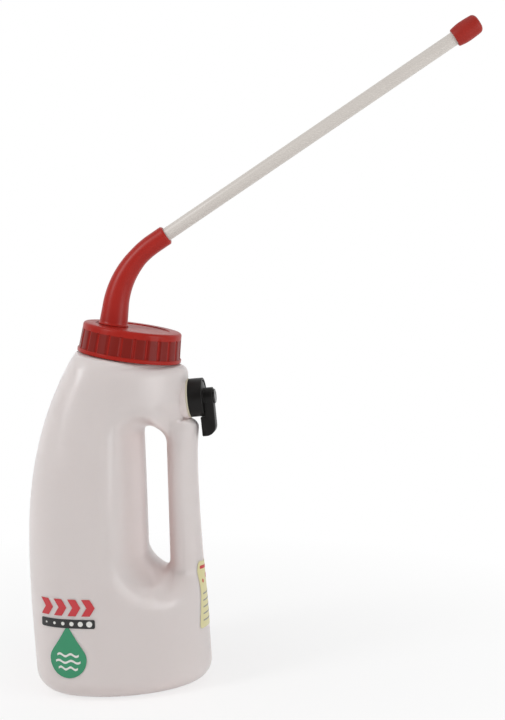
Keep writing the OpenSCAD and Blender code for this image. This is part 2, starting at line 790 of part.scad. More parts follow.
module valve_housing() color(black) on_valve() {
    difference() {
        union() {
            translate([0, 0, housing_z]) cylinder(r = housing_r, h = housing_len);
            translate([0, 0, stem_end]) cylinder(r = stem_r, h = stem_len + past);
        }
        translate([0, 0, plate_z]) cylinder(r = cup_r, h = housing_face - plate_z + past);
        translate([0, 0, chamber_z]) cylinder(r = ledge_r, h = chamber_h + past);
        translate([0, 0, stem_end - past]) cylinder(r = throat_r, h = chamber_z - stem_end + 2 * past);
        translate([0, 0, stem_end - past]) cylinder(r = disc_bore_r, h = throat_z - stem_end + past);
    }
}

module valve_backnut() color(black) on_valve() {
    translate([0, 0, -seat_t - seat_gap - backnut_h]) difference() {
        rotate([0, 0, 30]) cylinder(r = stem_r + backnut_rim, h = backnut_h, $fn = 6);
        translate([0, 0, -past]) cylinder(r = stem_r + seat_gap, h = backnut_h + 2 * past);
    }
}

// Hole on the ring of air ports, at an angle from the lever's rest
module port_hole(angle, r, z, h) {
    rotate([0, 0, angle]) translate([port_ring_r, 0, z]) cylinder(r = r, h = h);
}

module port_plate() color(black) on_valve() {
    difference() {
        translate([0, 0, plate_z]) cylinder(r = cup_r - seat_gap, h = plate_t);
        translate([0, 0, plate_z - past]) cylinder(r = screw_r + seat_gap, h = plate_t + 2 * past);
        port_hole(plug_angle, port_r, plate_z - past, plate_t + 2 * past);
    }
}

module rotor_seal() color(rubber) on_valve() {
    seal_z = plate_z + plate_t + seat_gap;
    difference() {
        ring(cup_r - thread_gap, screw_r + seal_in, seal_z, seal_t);
        port_hole(plug_angle, port_r, seal_z - past, seal_t + 2 * past);
    }
}

// Finger lever in side view: out from the axis, then along the axis
module lever_outline() {
    outer = lever_reach - pad_round;
    top = hub_face - pad_round;
    polygon(concat(
        [[0, lever_low_z], [pad_in, lever_low_z], [pad_in, pad_z], [lever_reach, pad_z]],
        [for (k = [0 : 10]) let (a = 9 * k) [outer + pad_round * cos(a), top + pad_round * sin(a)]],
        [[0, hub_face]]));
}

module speed_lever() color(black) on_valve() {
    difference() {
        union() {
            translate([0, 0, rotor_z]) cylinder(r = cup_r - run_gap, h = rotor_t);
            translate([0, 0, rotor_face - bite]) cylinder(r = hub_r, h = hub_face - rotor_face + bite);
            rotate([90, 0, 0]) translate([0, 0, -lever_w / 2]) linear_extrude(lever_w) lever_outline();
        }
        translate([0, 0, rotor_z - past]) cylinder(r = screw_r + run_gap, h = hub_face - rotor_z + 2 * past);
        translate([0, 0, counterbore_z]) cylinder(r = counterbore_r, h = hub_face - counterbore_z + past);
        for (k = [0 : len(meter_r) - 1]) {
            port_hole(plug_angle - port_step * (k + 1), meter_r[k], rotor_z - past, rotor_t + 2 * past);
        }
    }
}

module lever_washer() color(steel) on_valve() {
    ring(head_r, screw_r + seat_gap, washer_z, washer_t);
}

module lever_screw() color(steel) on_valve() {
    difference() {
        union() {
            translate([0, 0, plate_z]) cylinder(r = screw_r, h = head_z - plate_z + bite);
            translate([0, 0, head_z]) cylinder(r = head_r, h = head_h);
        }
        translate([-head_r, -slot_w / 2, head_z + head_h - slot_depth]) cube([2 * head_r, slot_w, past]);
    }
}

module hub_cap() color(black) on_valve() {
    translate([0, 0, hub_face]) cylinder(r = hub_cap_r, h = hub_cap_t);
    translate([0, 0, hub_face - hub_cap_plug])
        cylinder(r = counterbore_r - seat_gap, h = hub_cap_plug + bite);
}

module check_disc() color(rubber) on_valve() {
    translate([0, 0, disc_low_z]) cylinder(r = disc_bore_r - thread_gap, h = disc_t);
}

module check_cage() color(black) on_valve() {
    ring(disc_bore_r - seat_gap, disc_bore_r - cage_rim, cage_z, cage_t);
    bar_len = 2 * disc_bore_r - cage_rim;
    for (a = [0, 90]) {
        rotate([0, 0, a]) translate([-bar_len / 2, -cage_bar / 2, cage_z]) cube([bar_len, cage_bar, cage_t]);
    }
}

// Labels that follow the jug's skin

// Closed sheet over a grid of points: inner and outer give the two faces
module label_sheet(inner, outer) {
    rows = len(inner);
    cols = len(inner[0]);
    flat_inner = [for (row = inner) each row];
    flat_outer = [for (row = outer) each row];
    count = rows * cols;
    sheet = [for (j = [0 : rows - 2]) for (k = [0 : cols - 2])
        let (a = j * cols + k, b = a + cols, c = b + 1, d = a + 1)
        each [[a, b, c], [a, c, d], [count + a, count + c, count + b], [count + a, count + d, count + c]]];
    rim = concat(
        [for (k = [0 : cols - 1]) k],
        [for (j = [1 : rows - 1]) j * cols + cols - 1],
        [for (k = [cols - 2 : -1 : 0]) (rows - 1) * cols + k],
        [for (j = [rows - 2 : -1 : 1]) j * cols]);
    edge = [for (m = [0 : len(rim) - 1])
        let (a = rim[m], b = rim[(m + 1) % len(rim)])
        each [[a, b, count + b], [a, count + b, count + a]]];
    polyhedron(points = concat(flat_inner, flat_outer), faces = concat(sheet, edge));
}

// Side label: its points lie over the side view
function side_label_face(out) = [for (j = [0 : side_label_steps]) [for (k = [0 : side_label_steps])
    let (
        x = between(-side_label_front, side_label_len - side_label_front, j / side_label_steps),
        z = between(side_label_z, side_label_z + side_label_h, k / side_label_steps)
    )
    [x, -half_width(x, z, 0) - parting_land - out, z]]];

module front_label() color(label_green) {
    label_sheet(side_label_face(label_gap + label_t), side_label_face(label_gap));
}

// Back of the jug at y, found by halving the stretch from low to high
function behind_x(y, z, low, high, halvings) =
    let (middle = (low + high) / 2)
    halvings == 0 ? middle
    : half_width(middle, z, 0) + parting_land > abs(y)
        ? behind_x(y, z, middle, high, halvings - 1)
        : behind_x(y, z, low, middle, halvings - 1);

// Back label: its points lie over the view from behind
function back_label_face(out) = [for (j = [0 : back_label_across]) [for (k = [0 : back_label_up])
    let (
        half = between(back_label_w, back_label_top_w, k / back_label_up) / 2,
        y = between(-half, half, j / back_label_across),
        z = between(back_label_z, back_label_z + back_label_h, k / back_label_up)
    )
    [behind_x(y, z, back_label_x, back_x(z, 0), back_label_halvings) + out, y, z]]];

module back_label() color(label_yellow) {
    label_sheet(back_label_face(back_label_gap + label_t), back_label_face(back_label_gap));
}

jug();
cap();
cap_liner();
elbow();
elbow_nut();
elbow_o_ring();
tube();
tube_o_ring();
tip();
valve_housing();
valve_gasket();
valve_backnut();
port_plate();
rotor_seal();
speed_lever();
lever_screw();
lever_washer();
hub_cap();
check_disc();
check_cage();
front_label();
back_label();
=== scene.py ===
"""Looks of a livestock drencher: a milky handled jug with a red fluted cap, a swan-neck
outlet, a long white tube with a soft red tip, and a black lever valve."""
from math import atan2, cos, pi, radians, sin, sqrt, tan

import bmesh
import bpy
from mathutils import Matrix, Vector


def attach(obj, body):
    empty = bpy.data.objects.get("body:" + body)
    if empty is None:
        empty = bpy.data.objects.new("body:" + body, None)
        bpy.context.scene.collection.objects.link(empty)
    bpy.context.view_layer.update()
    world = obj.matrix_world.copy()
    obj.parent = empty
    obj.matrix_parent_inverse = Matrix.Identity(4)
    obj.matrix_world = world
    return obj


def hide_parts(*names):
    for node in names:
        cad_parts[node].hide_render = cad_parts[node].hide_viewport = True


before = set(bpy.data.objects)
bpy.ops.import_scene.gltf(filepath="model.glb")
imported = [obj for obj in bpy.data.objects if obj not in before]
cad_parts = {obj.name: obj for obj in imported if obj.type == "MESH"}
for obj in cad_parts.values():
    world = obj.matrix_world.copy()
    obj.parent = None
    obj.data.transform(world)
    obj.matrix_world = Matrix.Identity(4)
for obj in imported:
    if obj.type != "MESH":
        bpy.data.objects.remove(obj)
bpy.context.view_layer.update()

# Pieces are drawn in millimetres and stored in metres
MM = 0.001
FULL_TURN = 2 * pi

# Roundings of moulded edges, from the sharpest to the softest
EDGE_TRIM = 0.2
EDGE_FINE = 0.3
EDGE_SMALL = 0.4
EDGE_MID = 0.5
EDGE_SOFT = 0.6
EDGE_ROUND = 0.7
EDGE_FULL = 0.8

# How far united pieces reach into each other, a drill past its hole, and the slack of a test
OVERLAP = 0.4
DRILL_PAST = 5
TOUCH = 0.01

# Jug: its side view, its section and its handle
FRONT_BASE = 81.5
FRONT_BELLY = 87.1
BELLY_Z = 125
SHOULDER_SLOPE = 0.62
BACK_BASE = 76.8
BACK_GRIP = 65.6
GRIP_KICK = 1.4
GRIP_Z = 214
BODY_W = 150
SHOULDER_W = 116
TAPER_Z = 160
BASE_EDGE_R = 20
BACK_TOP_R = 8
WALL = 2
PARTING_LAND = 0.5
CROWN_AT = 0.38
FRONT_FULL = 2.86
BACK_FULL = 1.76
FRONT_FLARE = 0.05
BACK_FLARE = -0.03
BASE_DRAW = 0.28
NECK_DRAW = 0.2
NECK_DRAW_H = 26.8
GAP_FRONT = 15.6
GAP_W = 22.8
GAP_Z = 106.8
GAP_LEN = 131
GAP_LEAN = -0.016
GAP_SLANT = 0.25
GAP_ROUND = 17
POCKET_W = 25.7
POCKET_DRAW = 0.5
POCKET_BLEND = 0.5
HANDLE_EASE = 1.5
RIM_SLOPE = 0.22
RIM_SOFT = 0.2
LOW_RIM_SLOPE = 0.36
LOW_RIM_SOFT = 0.05
LOW_RIM_START = 0.3
STEP_ROUND = 4
STEP_EASE = 18
STEP_FADE = 18
HANDLE_RIM_AWAY = 17
HANDLE_RIM_EDGE = 3
HANDLE_RIM_DEPTH = 0.45
HANDLE_RIM_TOP = 172
HANDLE_RIM_FADE = 45

# Neck and cap
NECK_X = 3.4
NECK_Z = 301.6
NECK_TILT = radians(8.5)
NECK_R = 40.6
NECK_WALL = 3
NECK_FOOT = 1.6
NECK_FOOT_MID = (0.5, 0.4)
BORE_FOOT = 2
SHOULDER_INSET = 1.5
RIM_GAP = 1
THREAD_PITCH = 7
THREAD_H = 2
THREAD_ROOT_W = 2.6
THREAD_CREST_W = 1.2
THREAD_TURN = radians(450)
THREAD_LEAD = radians(90)
THREAD_Z = 4.5
THREAD_GAP = 0.5
CAP_R = 47.6
CAP_H = 27
CAP_TOP = 2.4
RIM_BAND = 3.4
RIM_PROUD = 0.9
SKIRT_DRAFT = 1.7
FLUTES = 24
FLUTE_HALF_W = 2.1
FLUTE_DEPTH = 1.6
FLUTE_STEEPNESS = 1.25
FLUTE_FOOT = 0.35
FLUTE_HEAD = 1.2
# Width over which the painted shade on the cap's pads fades in beside the grooves
PAD_SHADE_EDGE = 1.4
TOP_BAND = 5.5
CAP_EDGE_H = 3
CAP_EDGE_R = 2.4
RECESS_R = 34
RECESS_DEPTH = 0.9
RECESS_FILLET = 0.35
LINER_T = 2
SEAL_GAP = 0.1

# Elbow, tube and tip
ELBOW_X = 18.3
ELBOW_BEND = radians(48.3)
BEND_R = 82
CORNER_Z = 80.7
ELBOW_REACH = 51
ELBOW_BASE_R = 13
ELBOW_END_R = 9.1
ELBOW_TAPER = 68
COLLAR_PROUD = 0.7
COLLAR_H = 1.4
HORN_ROOT = 0.15
HORN_ROOT_Z = 0.1
HORN_START = 0.6
MOUTH_CHAMFER = 1.4
MOUTH_EDGE_BACK = 0.35
MOUTH_EDGE_OUT = 0.45
SPIGOT_R = 11
SPIGOT_LEN = 17.5
SPIGOT_SEAL_HALF = 1.3
SPIGOT_SEAL_DEPTH = 2.2
DUCT_R = 7
BOSS_H = 8
BOSS_WALL = 3
TUBE_R = 6.1
TUBE_WALL = 1.4
TUBE_SEAL_BACK = 8
TUBE_SEAL_HALF = 0.85
TUBE_SEAL_DEPTH = 1.55
SOCKET_LEN = 24
TUBE_SHOW = 307
TIP_LEN = 25
TIP_R = 9.4
TIP_BASE_R = 8.3
TIP_END_R = 6.2
TIP_SOCKET = 15
TIP_LIP = 1
TIP_HEEL = 0.9
TIP_SWELL_Z = 10
TIP_NOSE_R = 4.5
TIP_NOSE_IN = 1.8
RUN_GAP = 0.05
SEAT_GAP = 0.02

# Air valve and lever
VALVE_Z = 263.2
SEAT_X = 58
VALVE_TILT = radians(5)
SEAT_PROUD = 0.5
SEAT_STEP_H = 5
SEAT_T = 3.5
SEAT_DEPTH = 7.5
SEAT_R = 18.6
SEAT_SPARE = 1
GASKET_T = 1.5
GASKET_PROUD = 0.4
HOUSING_R = 17.6
HOUSING_LEN = 13
HOUSING_RIM = 2
STEM_R = 9
STEM_LEN = 14
AIR_R = 4.6
CHECK_R = 7
CHECK_DEPTH = 6
PLATE_T = 3
PLATE_LEDGE = 1.6
ROTOR_SEAL_T = 0.5
CHAMBER_DEPTH = 3.4
HUB_R = 8.3
HUB_H = 8.6
SCREW_R = 2
WELL_R = 4.3
WELL_DEPTH = 3.8
WELL_PAST = 2
LEVER_REACH = 35.6
LEVER_W = 13
LEVER_BEVEL = 1.3
LEVER_PAST = 2
PAD_GAP = 0.4
PAD_BACK = 4.4
PAD_ROUND = 9
PAD_TOE_R = 1.2
HUB_CAP_R = 6.7
HUB_CAP_T = 1.8
HUB_CAP_EDGE_R = 0.9
HUB_CAP_PLUG = 0.9
DISH_R = 4.6
DISH_SLOPE = 0.2
DISH_DEPTH = 0.25
ROTOR_T = 3.3
ROTOR_SUNK = 0.2
ROTOR_EDGE_R = 2.6

# Labels: their places, then the front's drop, band, chevrons and waves, and the back's dots and lines
SIDE_LABEL_X = -41
SIDE_LABEL_Z = 57
LABEL_LIFT = 0.15
LABEL_PITCH = 2.5
INK_T = 0.04
INK_GAP = 0.03
DROP_Z = -18
DROP_R = 17
DROP_PINCH = 0.55
DROP_PULL = 0.75
DROP_POINT = 3
BAND_W = 50
BAND_Z = 10.5
BAND_H = 8
BAND_EDGE_R = 1.5
BAND_DOTS = 6
BAND_DOT_PITCH = 8
BAND_DOT_R = 0.9
BAND_DOT_GROWTH = 0.35
CHEVRONS = 4
CHEVRON_PITCH = 12.7
CHEVRON_Z = 21.5
CHEVRON_H = 15
CHEVRON_W = 7.4
CHEVRON_POINT = 4.6
WAVE_HALVES = (9, 11.5, 10)
WAVE_Z = -27
WAVE_PITCH = 6
WAVE_SWING = 1.1
WAVE_T = 2
BACK_LABEL_Z = 53
BACK_LABEL_H = 60
BACK_LABEL_W = 40
BACK_LABEL_TOP_W = 18
BACK_FILM_LIFT = 0.25
BACK_INK_GAP = 0.1
FILM_EDGE_R = 3
BACK_DOTS = 3
BACK_DOT_DROP = 18
BACK_DOT_PITCH = 12
BACK_DOT_RISE = 4
BACK_DOT_R = 1.8
BACK_DOT_GROWTH = 0.9
BAR_INSET = 4
BAR_T = 3
BAR_EDGE_R = 1
RULES = 5
RULE_INSET = 5
RULE_PITCH = 6
RULE_T = 1.2

# Floor in millimetres; its shadow's reach and the lit middle in metres; and the room's levels of light
FLOOR_HALF = 4000
FLOOR_DROP = 0.2
FLOOR_GREY = 0.86
SHADOW_NEAR = 0.1
SHADOW_FAR = 0.6
SHADOW_WHITE = 0.72
ROOM_LEVEL = 0.52
REFLECTED_LEVEL = 0.3
BACKDROP_FROM = -0.2
BACKDROP_FULL = 0.6
LIT_MIDDLE = Vector((0.05, 0, 0.3))

# Camera, from the photograph's own view of a frame 505 by 720 pixels
FRAME_LONG_SIDE = 720
FOCAL_PIXELS = 1380.8
SENSOR = 36
CAMERA_TARGET = Vector((117.0, 0, 298.2)) * MM
CAMERA_DISTANCE = 1251.2 * MM
CAMERA_AZIMUTH = radians(6.69)
CAMERA_ELEVATION = radians(5.70)
CAMERA_ROLL = radians(-0.535)


# Sums that the shapes share

def smooth(t):
    u = max(0.0, min(1.0, t))
    return u * u * (3 - 2 * u)


def between(a, b, t):
    return a + (b - a) * t


def neck_point(across, along):
    """Point of the side view, from distances across and along the neck's axis."""
    return (NECK_X + across * cos(NECK_TILT) + along * sin(NECK_TILT),
            NECK_Z - across * sin(NECK_TILT) + along * cos(NECK_TILT))


# Values that follow from the sizes
SHOULDER_R = CAP_R - SHOULDER_INSET
SHOULDER_FRONT = neck_point(-SHOULDER_R, -RIM_GAP)
SHOULDER_BACK = neck_point(SHOULDER_R, -RIM_GAP)
BACK_CORNER_Z = SHOULDER_BACK[1] - BACK_TOP_R
SEAT_WALL_X = SEAT_X - SEAT_PROUD
SEAT_STEP_Z = VALVE_Z - SEAT_R - SEAT_STEP_H + PARTING_LAND
GAP_R = GAP_W / 2
GAP_MID_X = GAP_FRONT + GAP_R
GAP_LOW = GAP_Z + GAP_R
GAP_HIGH = GAP_Z + GAP_LEN - GAP_R
GAP_MID_Z = GAP_Z + GAP_LEN / 2
CEILING_Z = CAP_H - CAP_TOP
NECK_H = CEILING_Z - LINER_T - 2 * SEAL_GAP
SKIRT_R = CAP_R - RIM_PROUD
SKIRT_TOP_R = SKIRT_R - SKIRT_DRAFT
SKIRT_IN_R = NECK_R + THREAD_H + THREAD_GAP
FLUTE_LOW = RIM_BAND
FLUTE_HIGH = CAP_H - TOP_BAND
CAP_FLOOR_Z = CAP_H - RECESS_DEPTH
ELBOW_FOOT_Z = CAP_FLOOR_Z + SEAL_GAP
BEND_TANGENT = BEND_R * tan(ELBOW_BEND / 2)
RISE_LEN = CORNER_Z - BEND_TANGENT - ELBOW_FOOT_Z
ARC_LEN = BEND_R * ELBOW_BEND
ELBOW_LEN = RISE_LEN + ARC_LEN + ELBOW_REACH - BEND_TANGENT
TUBE_BORE_R = TUBE_R - TUBE_WALL
HOUSING_FACE = GASKET_T + HOUSING_LEN
CUP_R = HOUSING_R - HOUSING_RIM
HUB_FACE = HOUSING_FACE + HUB_H
ROTOR_FACE = HOUSING_FACE - ROTOR_SUNK
ROTOR_BACK = ROTOR_FACE - ROTOR_T

# Frames: of the neck, of the elbow's foot, along the tube, and out of the valve's seat
ON_NECK = Matrix.Translation((NECK_X, 0, NECK_Z)) @ Matrix.Rotation(NECK_TILT, 4, "Y")
ON_ELBOW = ON_NECK @ Matrix.Translation((-ELBOW_X, 0, 0))
ON_TUBE = (ON_ELBOW @ Matrix.Translation((0, 0, CORNER_Z)) @ Matrix.Rotation(ELBOW_BEND, 4, "Y")
           @ Matrix.Translation((0, 0, ELBOW_REACH)))
ON_VALVE = Matrix.Translation((SEAT_X, 0, VALVE_Z)) @ Matrix.Rotation(pi / 2 - VALVE_TILT, 4, "Y")


# Helpers that make meshes and pieces

def rounded(corners, steps=5):
    """Outline through corners (across, along, radius), with an arc at each corner that has a radius."""
    points = []
    count = len(corners)
    for k in range(count):
        here = Vector(corners[k][:2])
        radius = corners[k][2]
        before = Vector(corners[k - 1][:2]) - here
        after = Vector(corners[(k + 1) % count][:2]) - here
        if radius == 0:
            points.append(here)
            continue
        half = before.angle(after) / 2
        middle = here + (before.normalized() + after.normalized()).normalized() * radius / sin(half)
        start = here + before.normalized() * radius / tan(half) - middle
        end = here + after.normalized() * radius / tan(half) - middle
        sweep = start.angle_signed(end)
        for j in range(steps + 1):
            points.append(middle + Matrix.Rotation(-sweep * j / steps, 2) @ start)
    return points


def tidied(bm):
    """Merges seams and poles, and turns the faces outwards."""
    bmesh.ops.remove_doubles(bm, verts=bm.verts, dist=1e-4)
    bmesh.ops.dissolve_degenerate(bm, edges=bm.edges, dist=1e-5)
    bmesh.ops.recalc_face_normals(bm, faces=bm.faces)
    return bm


def turned(profile, steps=96):
    """Closed profile (radius, height) spun once round the Z axis."""
    bm = bmesh.new()
    points = [bm.verts.new((max(p[0], 0), 0, p[1])) for p in profile]
    edges = [bm.edges.new((points[k - 1], points[k])) for k in range(len(points))]
    bmesh.ops.spin(bm, geom=points + edges, cent=(0, 0, 0), axis=(0, 0, 1), dvec=(0, 0, 0),
                   angle=FULL_TURN, steps=steps, use_merge=True)
    return tidied(bm)


def verts_in(geom):
    return [g for g in geom if isinstance(g, bmesh.types.BMVert)]


def extruded_ring(bm, edges):
    """Extrudes a loop of edges, and gives the new loop's edges and vertices."""
    grown = bmesh.ops.extrude_edge_only(bm, edges=edges)["geom"]
    new_verts = verts_in(grown)
    fresh = set(new_verts)
    new_edges = [g for g in grown if isinstance(g, bmesh.types.BMEdge)]
    loop = [e for e in new_edges if all(v in fresh for v in e.verts)]
    return loop, new_verts


def joined(*parts):
    """One bmesh from several."""
    whole = parts[0]
    for part in parts[1:]:
        mesh = bpy.data.meshes.new("part")
        part.to_mesh(mesh)
        part.free()
        whole.from_mesh(mesh)
        bpy.data.meshes.remove(mesh)
    return whole


def as_object(name, bm, place=None, sharp=38):
    """Object in metres, at the origin, smooth but for edges sharper than an angle in degrees."""
    if place is not None:
        bm.transform(place)
    bm.transform(Matrix.Scale(MM, 4))
    for face in bm.faces:
        face.smooth = True
    for edge in bm.edges:
        edge.smooth = edge.calc_face_angle(0) < radians(sharp)
    mesh = bpy.data.meshes.new(name)
    bm.to_mesh(mesh)
    bm.free()
    piece = bpy.data.objects.new(name, mesh)
    bpy.context.scene.collection.objects.link(piece)
    return piece


def lathe(name, corners, place, steps=96):
    """Turned piece with rounded corners, at its place."""
    return as_object(name, turned(rounded(corners), steps), place)


def drill_bit(place, low, *stretches):
    """Round drill up a frame's axis, from its low end through stretches of a radius and a top."""
    profile = [(0, low)]
    bottom = low
    for radius, top in stretches:
        profile += [(radius, bottom), (radius, top)]
        bottom = top
    return as_object("drill", turned(profile + [(0, bottom)]), place)


def with_modifiers(piece):
    """Bakes a piece's modifiers into its mesh."""
    view = bpy.context.evaluated_depsgraph_get()
    mesh = bpy.data.meshes.new_from_object(piece.evaluated_get(view))
    piece.modifiers.clear()
    old = piece.data
    piece.data = mesh
    mesh.name = piece.name
    bpy.data.meshes.remove(old)
    return piece


def combined(piece, operation, *others):
    """Unites closed pieces with the first, or cuts them out of it."""
    for other in others:
        step = piece.modifiers.new(operation.lower(), "BOOLEAN")
        step.operation = operation
        step.solver = "EXACT"
        step.object = other
    with_modifiers(piece)
    for other in others:
        bpy.data.objects.remove(other)
    return piece


def united(piece, *others):
    return combined(piece, "UNION", *others)


def cut(piece, drill):
    return combined(piece, "DIFFERENCE", drill)


def settle(piece, material, body, slot, *nodes):
    """Gives a piece its finish, the body that it rides on and the nodes that it stands for."""
    piece.data.materials.clear()
    piece.data.materials.append(material)
    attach(piece, body)
    if nodes:
        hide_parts(*nodes)
    return piece


# Jug

def eased(z0, x0, slope0, z1, x1, slope1, z):
    """Smooth curve from height z0 to z1 with a given slope at each end."""
    h = z1 - z0
    t = (z - z0) / h
    return ((2 * t ** 3 - 3 * t ** 2 + 1) * x0 + (t ** 3 - 2 * t ** 2 + t) * h * slope0
            + (3 * t ** 2 - 2 * t ** 3) * x1 + (t ** 3 - t ** 2) * h * slope1)


def corner(r, d):
    """Setback of a rounded corner of radius r, at depth d into the corner."""
    u = max(0.0, min(r, d))
    return r - sqrt(max(0.0, r * r - u * u))


def part_of_circle(t):
    """Height of a quarter round at a share t of its width."""
    u = max(0.0, min(1.0, t))
    return 1 - sqrt(max(0.0, 1 - u * u))


def front_x(z):
    """Front of the side view, full at the belly and drawn in to the shoulder."""
    if z < BELLY_Z:
        line = eased(0, FRONT_BASE, FRONT_FLARE, BELLY_Z, FRONT_BELLY, 0, z)
    else:
        line = eased(BELLY_Z, FRONT_BELLY, 0, SHOULDER_FRONT[1], -SHOULDER_FRONT[0], -SHOULDER_SLOPE, z)
    return corner(BASE_EDGE_R, BASE_EDGE_R - z) - line


def back_x(z, ease=0):
    """Back of the side view, with a round step under the valve's seat; an ease spreads the step out."""
    if z < GRIP_Z:
        line = eased(0, BACK_BASE, BACK_FLARE, GRIP_Z, BACK_GRIP, 0, z)
    else:
        line = BACK_GRIP + GRIP_KICK * smooth((z - GRIP_Z) / (SEAT_STEP_Z - GRIP_Z))
    if ease == 0:
        step = part_of_circle((z - SEAT_STEP_Z + STEP_ROUND) / (SEAT_STEP_H + STEP_ROUND))
    else:
        step = smooth((z - SEAT_STEP_Z + ease) / (SEAT_STEP_H + 2 * ease))
    line = between(line, SEAT_WALL_X, step)
    behind_neck = corner(BACK_TOP_R, z - BACK_CORNER_Z) * (SEAT_WALL_X - SHOULDER_BACK[0]) / BACK_TOP_R
    return line - behind_neck - corner(BASE_EDGE_R, BASE_EDGE_R - z)


def gap_away(x, z):
    """Distance outside the finger gap, in the side view."""
    across = x - GAP_LEAN * (z - GAP_MID_Z) - GAP_MID_X
    up = z + GAP_SLANT * across
    return sqrt(across ** 2 + (up - max(GAP_LOW, min(GAP_HIGH, up))) ** 2) - GAP_R


def section_share(x, front, back):
    """Share of the full half width in a level section: 0 at its front and back, and 1 at its crown."""
    crown = between(front, back, CROWN_AT)
    if x < crown:
        part, full = (crown - x) / (crown - front), FRONT_FULL
    else:
        part, full = (x - crown) / (back - crown), BACK_FULL
    return max(0.0, 1 - min(1.0, part) ** full) ** (1 / full)


def body_share(x, z):
    """The level section at height z; the step under the valve's seat fades out over the sides."""
    front, back = front_x(z), back_x(z)
    return between(section_share(x, front, back), section_share(x, front, back_x(z, STEP_EASE)),
                   smooth((back - x) / STEP_FADE))


def pocket_share(x, z, away):
    """Depth of the hollow round the gap and over the handle, with a rim that is crisp at its lower end."""
    near_gap = max(0.0, 1 - away / POCKET_W)
    low_end = smooth((GAP_LOW - z) / GAP_R + LOW_RIM_START)
    soft = between(RIM_SOFT, LOW_RIM_SOFT, low_end)
    rim = between(RIM_SLOPE, LOW_RIM_SLOPE, low_end) * (sqrt(near_gap ** 2 + soft ** 2) - soft)
    hollow = part_of_circle(near_gap) + rim * (1 - near_gap) ** 2
    behind = smooth((x - GAP_MID_X) / (HANDLE_EASE * GAP_R))
    along = smooth((z - GAP_Z + POCKET_W) / POCKET_W) * (1 - smooth((z - GAP_Z - GAP_LEN) / POCKET_W))
    handle = behind * along
    blend = POCKET_BLEND * (hollow + handle) + 1e-6
    return max(hollow, handle) + blend / 4 * max(0.0, 1 - abs(hollow - handle) / blend) ** 2


def half_width(x, z):
    """Half width of the body at a point of its side view."""
    taper = smooth((z - TAPER_Z) / (SHOULDER_FRONT[1] - TAPER_Z))
    half = between(BODY_W, SHOULDER_W, taper) / 2 * body_share(x, z)
    away = max(0.0, gap_away(x, z))
    lip = sqrt(max(0.0, 1 - max(0.0, 1 - away / GAP_ROUND) ** 2))
    top_z = SHOULDER_FRONT[1] - (x - SHOULDER_FRONT[0]) * tan(NECK_TILT)
    under_neck = NECK_DRAW * part_of_circle(1 - (top_z - z) / NECK_DRAW_H)
    at_base = BASE_DRAW * part_of_circle((BASE_EDGE_R - z) / BASE_EDGE_R)
    half *= (1 - POCKET_DRAW * pocket_share(x, z, away)) * (1 - under_neck) * (1 - at_base)
    handle_rim = (HANDLE_RIM_DEPTH * smooth((HANDLE_RIM_AWAY - away) / HANDLE_RIM_EDGE)
                  * smooth((HANDLE_RIM_TOP - z) / HANDLE_RIM_FADE) * smooth((x - GAP_MID_X) / GAP_R))
    return lip * (half - handle_rim)


# Steps round the side view; the back has stretches, each with its start and count, close at the valve's step
FRONT_STEPS = 64
CORNER_STEPS = 10
BASE_STEPS = 30
STEP_NEAR = 10
BACK_STRETCHES = (
    (BASE_EDGE_R, 54),
    (SEAT_STEP_Z - STEP_NEAR, 30),
    (SEAT_STEP_Z + SEAT_STEP_H + STEP_NEAR, 14),
)
BACK_STEPS = sum(count for start, count in BACK_STRETCHES) + 1
TOP_STEPS = 40
RING_STEPS = 48


def back_heights():
    """Heights up the back, closest at the step under the valve's seat."""
    stops = [start for start, count in BACK_STRETCHES] + [BACK_CORNER_Z]
    heights = []
    for k, (start, count) in enumerate(BACK_STRETCHES):
        heights += [between(start, stops[k + 1], j / count) for j in range(count)]
    return heights + [BACK_CORNER_Z]


def side_view():
    """Points round the body's side view: down the front, along the base, up the back, along the top."""
    quarter = [pi / 2 * k / CORNER_STEPS for k in range(CORNER_STEPS + 1)]
    front_z = [between(SHOULDER_FRONT[1], BASE_EDGE_R, k / (FRONT_STEPS - 1)) for k in range(FRONT_STEPS)]
    front_z += [BASE_EDGE_R * (1 - sin(a)) for a in quarter[1:-1]]
    back_z = [BASE_EDGE_R * (1 - cos(a)) for a in quarter[1:-1]] + back_heights()
    back_z += [BACK_CORNER_Z + BACK_TOP_R * sin(a) for a in quarter[1:]]
    points = [(front_x(z), z) for z in front_z]
    points += [(between(front_x(0), back_x(0), k / (BASE_STEPS - 1)), 0) for k in range(BASE_STEPS)]
    points += [(back_x(z), z) for z in back_z]
    last, first = Vector(points[-1]), Vector(points[0])
    for k in range(1, TOP_STEPS + 1):
        points.append(tuple(last.lerp(first, (1 - cos(pi * k / (TOP_STEPS + 1))) / 2)))
    return points


def gap_edge(grown):
    """Edge of the finger gap, grown outwards, with one point for each point of the side view."""
    fronts = FRONT_STEPS + CORNER_STEPS - 1
    backs = BACK_STEPS + 2 * CORNER_STEPS - 1
    r = GAP_R + grown
    points = [(-r, between(GAP_HIGH, GAP_LOW, k / (fronts - 1))) for k in range(fronts)]
    for k in range(1, BASE_STEPS + 1):
        a = pi * k / (BASE_STEPS + 1)
        points.append((-r * cos(a), GAP_LOW - r * sin(a)))
    points += [(r, between(GAP_LOW, GAP_HIGH, k / (backs - 1))) for k in range(backs)]
    for k in range(1, TOP_STEPS + 1):
        a = pi * k / (TOP_STEPS + 1)
        points.append((r * cos(a), GAP_HIGH + r * sin(a)))
    edge = []
    for across, up in points:
        z = up - GAP_SLANT * across
        edge.append((GAP_MID_X + across + GAP_LEAN * (z - GAP_MID_Z), z))
    return edge


def drawn_in(points, depth):
    """Closed outline moved inwards by a depth."""
    moved = []
    for k, (x, z) in enumerate(points):
        before, after = points[k - 1], points[(k + 1) % len(points)]
        along = Vector((after[0] - before[0], after[1] - before[1])).normalized()
        moved.append((x - along.y * depth, z + along.x * depth))
    return moved


